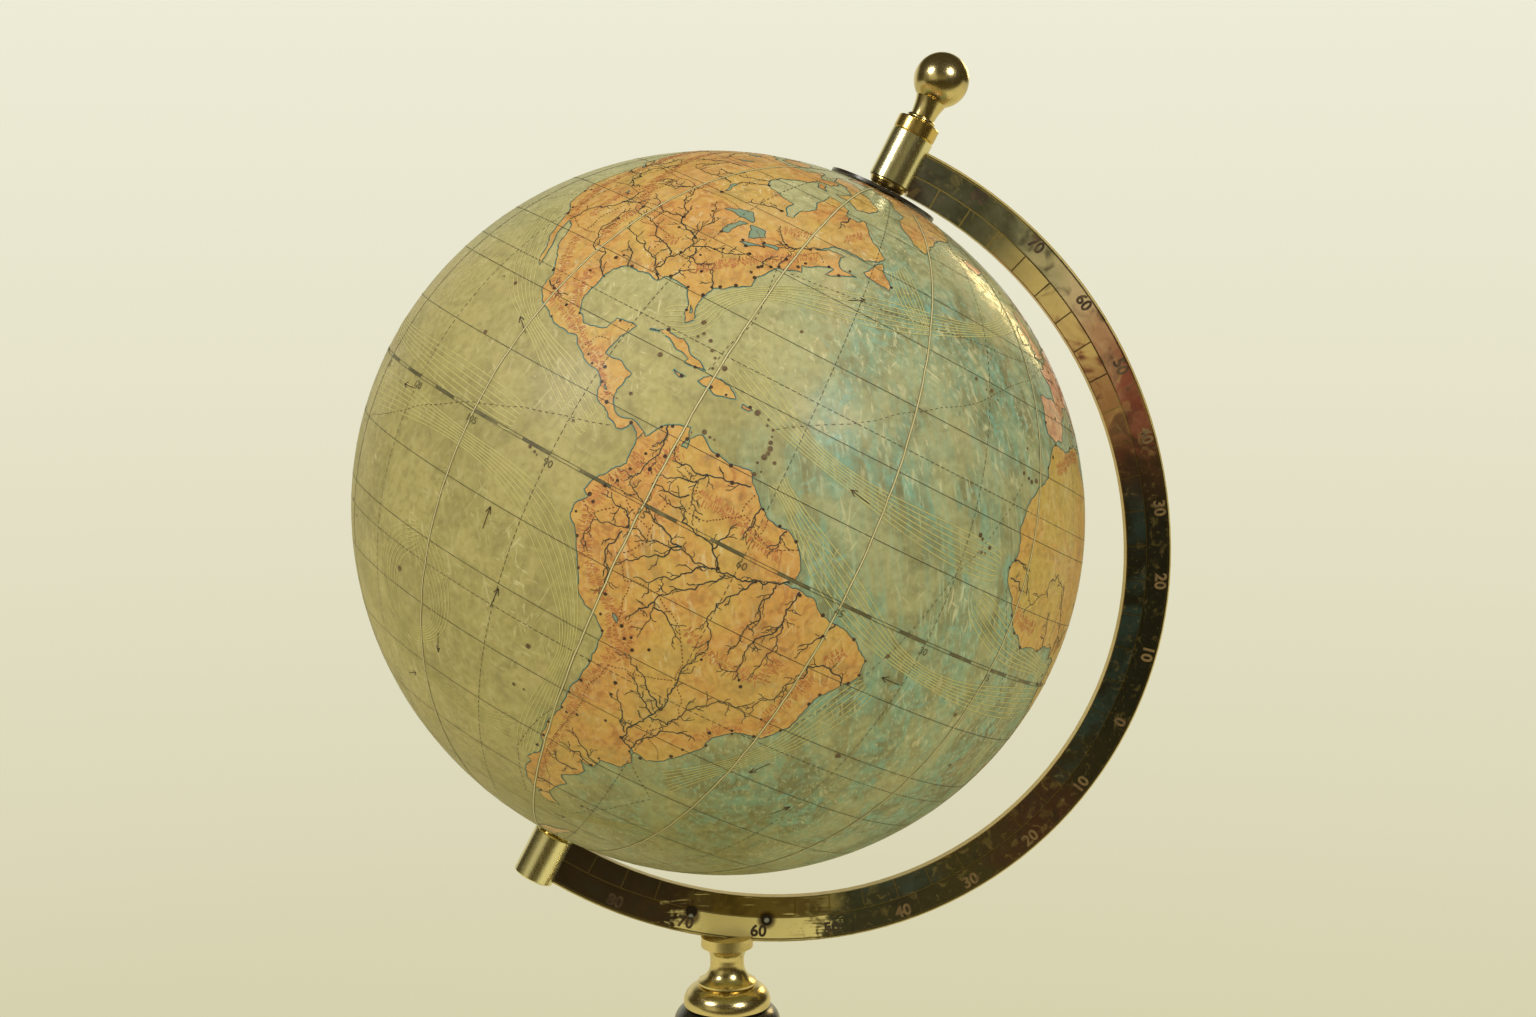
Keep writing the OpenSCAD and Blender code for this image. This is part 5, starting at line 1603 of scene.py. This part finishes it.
    def spots(self, name: str, places: list, finish: Material, size: float, jitter: float) -> None:
        """Draws small round marks.

        Args:
            name: The piece's name.
            places: Their (longitude, latitude) pairs.
            finish: Their material.
            size: Their radius in millimetres.
            jitter: Share by which their size varies.
        """
        sheet = bmesh.new()
        for lon, lat in places:
            spot = self.ball.spot(lon, lat, Layer.MARK)
            place = Matrix.Translation(spot) @ facing(self.ball.outward(spot))
            radius = size * MM * (1 + self.chance.uniform(-jitter, jitter))
            bmesh.ops.create_circle(sheet, cap_ends=True, segments=10, radius=radius, matrix=place)
        fresh(name, sheet, finish, self.body)

    def marks(self) -> None:
        """Draws towns, islets and arrows."""
        ink = Ink.MARK_INK.material()
        self.spots("towns", pairs(TOWNS), ink, size=0.34, jitter=0.25)
        self.spots("islets", pairs(ISLETS), Ink.ISLET_INK.material(), size=0.4, jitter=0.5)
        lines, (shaft, barb, spread) = [], self.head
        for lon, lat, degrees in pairs(ARROWS):
            turn = math.radians(degrees)
            tip = polar((lon, lat), turn, shaft)
            lines.append(Stroke(((lon, lat), tip)))
            for side in (-1, 1):
                lines.append(Stroke((tip, polar(tip, turn + math.pi + side * spread, barb)), width=0.2))
        for route in courses(ROUTES):
            dashes = dashed(self.rough(route, step=3, share=0.03), 0.6)
            lines += [Stroke(dash, width=0.12) for dash in dashes if self.outside(*dash[0])]
        self.strokes("arrows_and_routes", lines, Layer.LINE, ink)

    def flows(self) -> None:
        """Draws the pale bundles of current lines in the sea."""
        lines = []
        for current in courses(CURRENTS):
            middle = self.eased(current)
            for lane in range(-self.lanes, self.lanes + 1):
                course = []
                for i, (x, y) in enumerate(middle):
                    (x0, y0), (x1, y1) = middle[max(i - 1, 0)], middle[min(i + 1, len(middle) - 1)]
                    length = math.hypot(x1 - x0, y1 - y0) or 1
                    gap = lane * (0.62 + 0.25 * math.sin(i * 0.19))
                    course.append((x - (y1 - y0) / length * gap, y + (x1 - x0) / length * gap))
                lines += [Stroke((a, b), width=0.17) for a, b in zip(course, course[1:]) if self.outside(*a)]
        self.strokes("current_lines", lines, Layer.WATER, Ink.PALE_INK.material())

    def eased(self, points: list) -> list:
        """Rounds a listed course by cutting its corners.

        Args:
            points: Its points.

        Returns:
            A smoother line.
        """
        for _ in range(3):
            line = [points[0]]
            for (x0, y0), (x1, y1) in zip(points, points[1:]):
                line += [(x0 * near + x1 * (1 - near), y0 * near + y1 * (1 - near)) for near in (0.75, 0.25)]
            points = line + [points[-1]]
        return points

    def equator(self) -> None:
        """Draws the equator's dark bars and its degree numbers, counted from the map's own first meridian."""
        starts = range(-175, 180, 10)
        bars = [Stroke(((FIRST_EAST + lon, 0), (FIRST_EAST + lon + 5, 0)), width=0.5) for lon in starts]
        ink = Ink.EQUATOR_INK.material()
        self.strokes("equator_bars", bars, Layer.SEAM, ink)
        sheet = bmesh.new()
        for lon in range(self.net_step - 180, 180, self.net_step):
            if lon:
                self.write(sheet, str(abs(lon)), FIRST_EAST + lon + 0.3, lat=-1.3, size=1.1)
        fresh("equator_numbers", sheet, ink, self.body)

    def write(self, sheet: BMesh, text: str, lon: float, lat: float, size: float) -> None:
        """Writes a number on the globe.

        Args:
            sheet: The bmesh that takes it.
            text: Its digits.
            lon: Longitude of its middle.
            lat: Latitude of its middle.
            size: Its height in degrees.
        """
        digits = number_mesh(text, size)
        for corner in digits.verts:
            corner.co = self.ball.spot(lon + corner.co.x, lat + corner.co.y, Layer.MARK)
        join(sheet, digits)


@dataclass(frozen=True)
class ScaleNumbers:
    """The plain numbers of the half meridian's scale, on the outer half of its front.

    Attributes:
        step: Length of the centreline for 5 degrees of the scale, in millimetres.
        marks: Tens of degrees on each side of zero.
        first_dark: The first of them that is engraved dark.
        size: Height of a number, in millimetres.
        weight: How far its outline is spread, as a share of the height.
        outset: Its middle's distance from the centreline, in millimetres.
        above: Its height over the brass, in millimetres.
    """
    step: float = 8.2
    marks: int = 8
    first_dark: int = 5
    size: float = 2.7
    weight: float = 0.045
    outset: float = 2.75
    above: float = 0.012

    def spot(self, run: float) -> tuple[Vector, float]:
        """Finds a place along the band.

        Args:
            run: Length of the centreline from the zero mark, in millimetres.

        Returns:
            The place relative to the globe's centre, X and Z, and the outward direction in radians.
        """
        join_low = BAND_JOIN - BAND_TURN
        up_run = math.radians(BAND_JOIN - ZERO_MARK) * BAND_MID_R
        low_run = math.radians(ZERO_MARK - join_low) * BAND_MID_R
        if run > up_run:
            join, rest, radius = BAND_JOIN, run - up_run, BAND_END_R
        elif run < -low_run:
            join, rest, radius = join_low, run + low_run, BAND_END_R
        else:
            join, rest, radius = ZERO_MARK, run, BAND_MID_R
        angle = math.radians(join) + rest / radius
        centre = Vector(BAND_MID) + ray(math.radians(join)) * (BAND_MID_R - radius)
        return centre + ray(angle) * (radius + self.outset), angle

    def build(self) -> None:
        """Sets the numbers on the band: dark where it is bright, and rubbed bright where it is dark."""
        sheets = {ink: bmesh.new() for ink in (Ink.ENGRAVED_DARK, Ink.ENGRAVED_BRIGHT)}
        for mark in range(-self.marks, self.marks + 1):
            place, angle = self.spot(2 * mark * self.step)
            lean = angle + (math.pi / 2 if mark <= 0 else -math.pi / 2)
            digits = number_mesh(str(abs(mark) * 10), self.size * MM, self.weight)
            centre = (GLOBE_CENTRE + Vector((place.x, -BAND_HALF - self.above, place.y))) * MM
            upright = Matrix.Rotation(math.pi / 2, 4, "X")
            move = Matrix.Translation(centre) @ Matrix.Rotation(-lean, 4, "Y") @ upright
            bmesh.ops.transform(digits, matrix=move, verts=digits.verts)
            join(sheets[Ink.ENGRAVED_BRIGHT if abs(mark) < self.first_dark else Ink.ENGRAVED_DARK], digits)
        for ink, sheet in sheets.items():
            name = ink.name.lower().replace("engraved", "scale_numbers")
            fresh(name, sheet, ink.material(), "stand")


FINISHES = {
    Brass("brass"): ("ferrule", "neck", "finial", "north_bush", "south_bush"),
    Brass("golden_brass", (224, 196, 120), (150, 122, 60)): ("finial_collar", "upper_bush"),
    Brass("pale_brass", (240, 232, 184), (186, 174, 116), 0.22, 0.25): ("upper_barrel", "lower_barrel"),
    Brass("worn_brass", (206, 182, 112), (128, 104, 48), 0.16, 0.5): ("lower_pin", "thrust_washer"),
    Iron("iron"): ("tie_rod", "rod_nut", "rod_washer", "shell_tacks", "pivot_pin"),
    RivetIron("rivet_iron"): ("bracket_rivets",),
    Tarnish("half_meridian"): ("meridian_arc", "ring_bracket"),
    EbonisedWood("ebonised_wood"): ("base_disc", "column"),
    Plain("baize", (52, 84, 52), (34, 60, 38), 2400, sheen=0.4, rough=0.95): ("base_baize",),
    Plain("shell_board", (168, 146, 108), (136, 114, 80), 600): ("north_shell", "south_shell"),
    Plain("core_wood", (178, 140, 92), (140, 104, 62), 1, (900, 900, 70)): ("core_pole",),
    Plain("plaster", (222, 216, 200), (198, 190, 172), 500): ("plaster_coat",),
    Plain("dark_disc", (46, 38, 30), (26, 22, 18), 700, rough=0.4, coat=0.5): ("hour_disc",),
}


def dress() -> None:
    """Gives each CAD node that stays its finish."""
    for finish, names in FINISHES.items():
        material = finish.material()
        for name in names:
            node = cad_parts[name]
            node.data.materials.clear()
            node.data.materials.append(material)
    log.info("dressed the CAD nodes with %d finishes", len(FINISHES))


@dataclass(frozen=True)
class SoftBox:
    """A square lamp that shines on the globe.

    Attributes:
        name: Its name.
        towards: Its direction from the globe, in the camera's axes.
        side: Its side in metres.
        power: Its power in watts.
        tint: Its linear colour.
    """
    name: str
    towards: tuple
    side: float
    power: float
    tint: tuple = (1.0, 0.97, 0.90)


@dataclass
class Studio:
    """The camera, the lamps, the pale floor and what shows behind the object.

    Attributes:
        eye: The camera's place in metres.
        ahead: Where it looks.
        lens: Its focal length in millimetres.
        cream: Screen colour of the backdrop where brass reflects it.
        lamps: The soft boxes.
        lamp_reach: Their distance from the globe's centre, in metres.
        floor_half: Half the floor's side, in metres.
        floor_drop: How far the floor is below the baize, in metres.
        slopes: Downward part of the view's direction at the backdrop's first and last tone.
        paper: The backdrop's tones from top to bottom.
    """
    eye: Vector = field(default_factory=lambda: (GLOBE_CENTRE + Vector((-48.36, -489.53, 60.40))) * MM)
    ahead: Vector = field(default_factory=lambda: Vector((0.1193, 0.9856, -0.1200)))
    lens: float = 52.2
    cream: tuple = (229, 225, 198)
    lamps: tuple = (SoftBox("left_box", (-0.63, 0.56, 0.535), 0.36, 6.0),
                    SoftBox("right_box", (0.53, 0.4625, 0.711), 0.36, 5.6),
                    SoftBox("rim_box", (0.466, 0.382, -0.798), 0.3, 1.9, (1.0, 0.74, 0.30)))
    lamp_reach: float = 1.3
    floor_half: float = 9.0
    floor_drop: float = 0.0005
    slopes: tuple = (-0.11, 0.36)
    paper: tuple = ((0, (238, 236, 215)), (0.3, (232, 229, 205)),
                    (0.65, (223, 219, 190)), (1, (212, 208, 174)))

    def build(self) -> None:
        """Builds the studio."""
        self.camera()
        for box in self.lamps:
            self.lamp(box)
        self.room()
        self.floor()
        bpy.context.scene.view_settings.view_transform = "Standard"

    def axes(self) -> Matrix:
        """The camera's axes in the shared frame.

        Returns:
            A 4 by 4 turn with right, up and back as columns.
        """
        back = -self.ahead.normalized()
        right = Vector((0, 0, 1)).cross(back).normalized()
        return Matrix((right, back.cross(right), back)).transposed().to_4x4()

    def camera(self) -> None:
        """Sets the camera at the photograph's viewing angle."""
        data = bpy.data.cameras.new("camera")
        data.lens, data.sensor_width, data.clip_start, data.clip_end = self.lens, 36, 0.01, 50
        eye = bpy.data.objects.new("camera", data)
        eye.matrix_world = Matrix.Translation(self.eye) @ self.axes()
        bpy.context.scene.collection.objects.link(eye)
        bpy.context.scene.camera = eye

    def lamp(self, box: SoftBox) -> None:
        """Adds a lamp.

        Args:
            box: Its direction, size and power.
        """
        data = bpy.data.lights.new(box.name, "AREA")
        data.size, data.energy, data.color = box.side, box.power, box.tint
        away = (self.axes().to_3x3() @ Vector(box.towards)).normalized()
        lamp = bpy.data.objects.new(box.name, data)
        lamp.matrix_world = Matrix.Translation(GLOBE_CENTRE * MM + away * self.lamp_reach) @ facing(away)
        bpy.context.scene.collection.objects.link(lamp)

    def room(self) -> None:
        """Gives the world a soft even light, a cream backdrop and a dim room in front."""
        world = bpy.data.worlds.new("room")
        bpy.context.scene.world = world
        s = Shader("room", world)
        x, y, z = s.parts(s.add("ShaderNodeTexCoord").outputs["Generated"])
        path = s.add("ShaderNodeLightPath")
        behind = y.rise(0.55, 0.88) * z.rise(0.5, 0.3)
        front = s.blend(x.rise(0.05, 0.35), (128, 120, 82), (58, 50, 26))
        front = s.blend(y.rise(-0.15, 0.2), front, (62, 54, 26))
        front = s.blend(z.rise(0.12, 0.4), front, (64, 56, 30))
        window = x.rise(-0.4, -0.6) * x.rise(-0.95, -0.8) * z.rise(0.5, 0.3) * y.rise(-0.1, -0.3)
        front = s.blend(window, front, (196, 188, 150))
        seen = s.blend(behind, front, self.cream)
        soft = s.blend(z.rise(-0.4, 0.95), (118, 115, 102), (236, 232, 214))
        tone = s.blend(s.level(path.outputs["Is Glossy Ray"]), soft, seen)
        share = s.level(path.outputs["Is Camera Ray"]).most(s.level(path.outputs["Is Transmission Ray"]))
        back = s.add("ShaderNodeBackground", None, {0: s.blend(share, tone, self.backdrop(s, 0 - z))})
        s.add("ShaderNodeOutputWorld", None, {0: back.outputs[0]})

    def backdrop(self, s: Shader, down: Level) -> NodeSocket:
        """Tone of the paper backdrop, which darkens downwards.

        Args:
            s: The shader it is for.
            down: Downward part of the view's direction, which is 1 long.

        Returns:
            A colour socket.
        """
        top, low = self.slopes
        return s.ramp((down - top) / (low - top), self.paper)

    def floor(self) -> None:
        """Lays the pale floor, which keeps the object's shadow."""
        sheet = bmesh.new()
        bmesh.ops.create_grid(sheet, x_segments=4, y_segments=4, size=1)
        size = Matrix.Diagonal((self.floor_half, self.floor_half, 1, 1))
        place = Matrix.Translation((0, 0, -self.floor_drop)) @ size
        bmesh.ops.transform(sheet, matrix=place, verts=sheet.verts)
        data = bpy.data.meshes.new("floor")
        sheet.to_mesh(data)
        sheet.free()
        s = Shader("pale_floor")
        x, y, _ = s.parts(s.place())
        along, across = y - self.eye.y, x - self.eye.x
        tone = self.backdrop(s, self.eye.z / (along * along + across * across + self.eye.z ** 2).root())
        path = s.add("ShaderNodeLightPath")
        shaded = s.level(path.outputs["Is Glossy Ray"]) * y.rise(-0.2, -0.42)
        chalk = s.add("ShaderNodeBsdfDiffuse", None, {"Color": s.blend(shaded, tone, (66, 58, 32))})
        glow = s.add("ShaderNodeEmission", None, {"Color": tone})
        glow_share = 0.84 + distance(x, y).rise(0.35, 0.75) * 0.16
        mixed = s.add("ShaderNodeMixShader", None, {0: s.level(path.outputs["Is Camera Ray"]) * glow_share,
                                                    1: chalk.outputs[0], 2: glow.outputs[0]})
        s.add("ShaderNodeOutputMaterial", None, {"Surface": mixed.outputs[0]})
        data.materials.append(s.material)
        floor = bpy.data.objects.new("floor", data)
        bpy.context.scene.collection.objects.link(floor)


def main() -> None:
    """Builds the scene in order."""
    Studio().build()
    dress()
    ScaleNumbers().build()
    PrintedMap().build()


if __name__ == "__main__":
    main()
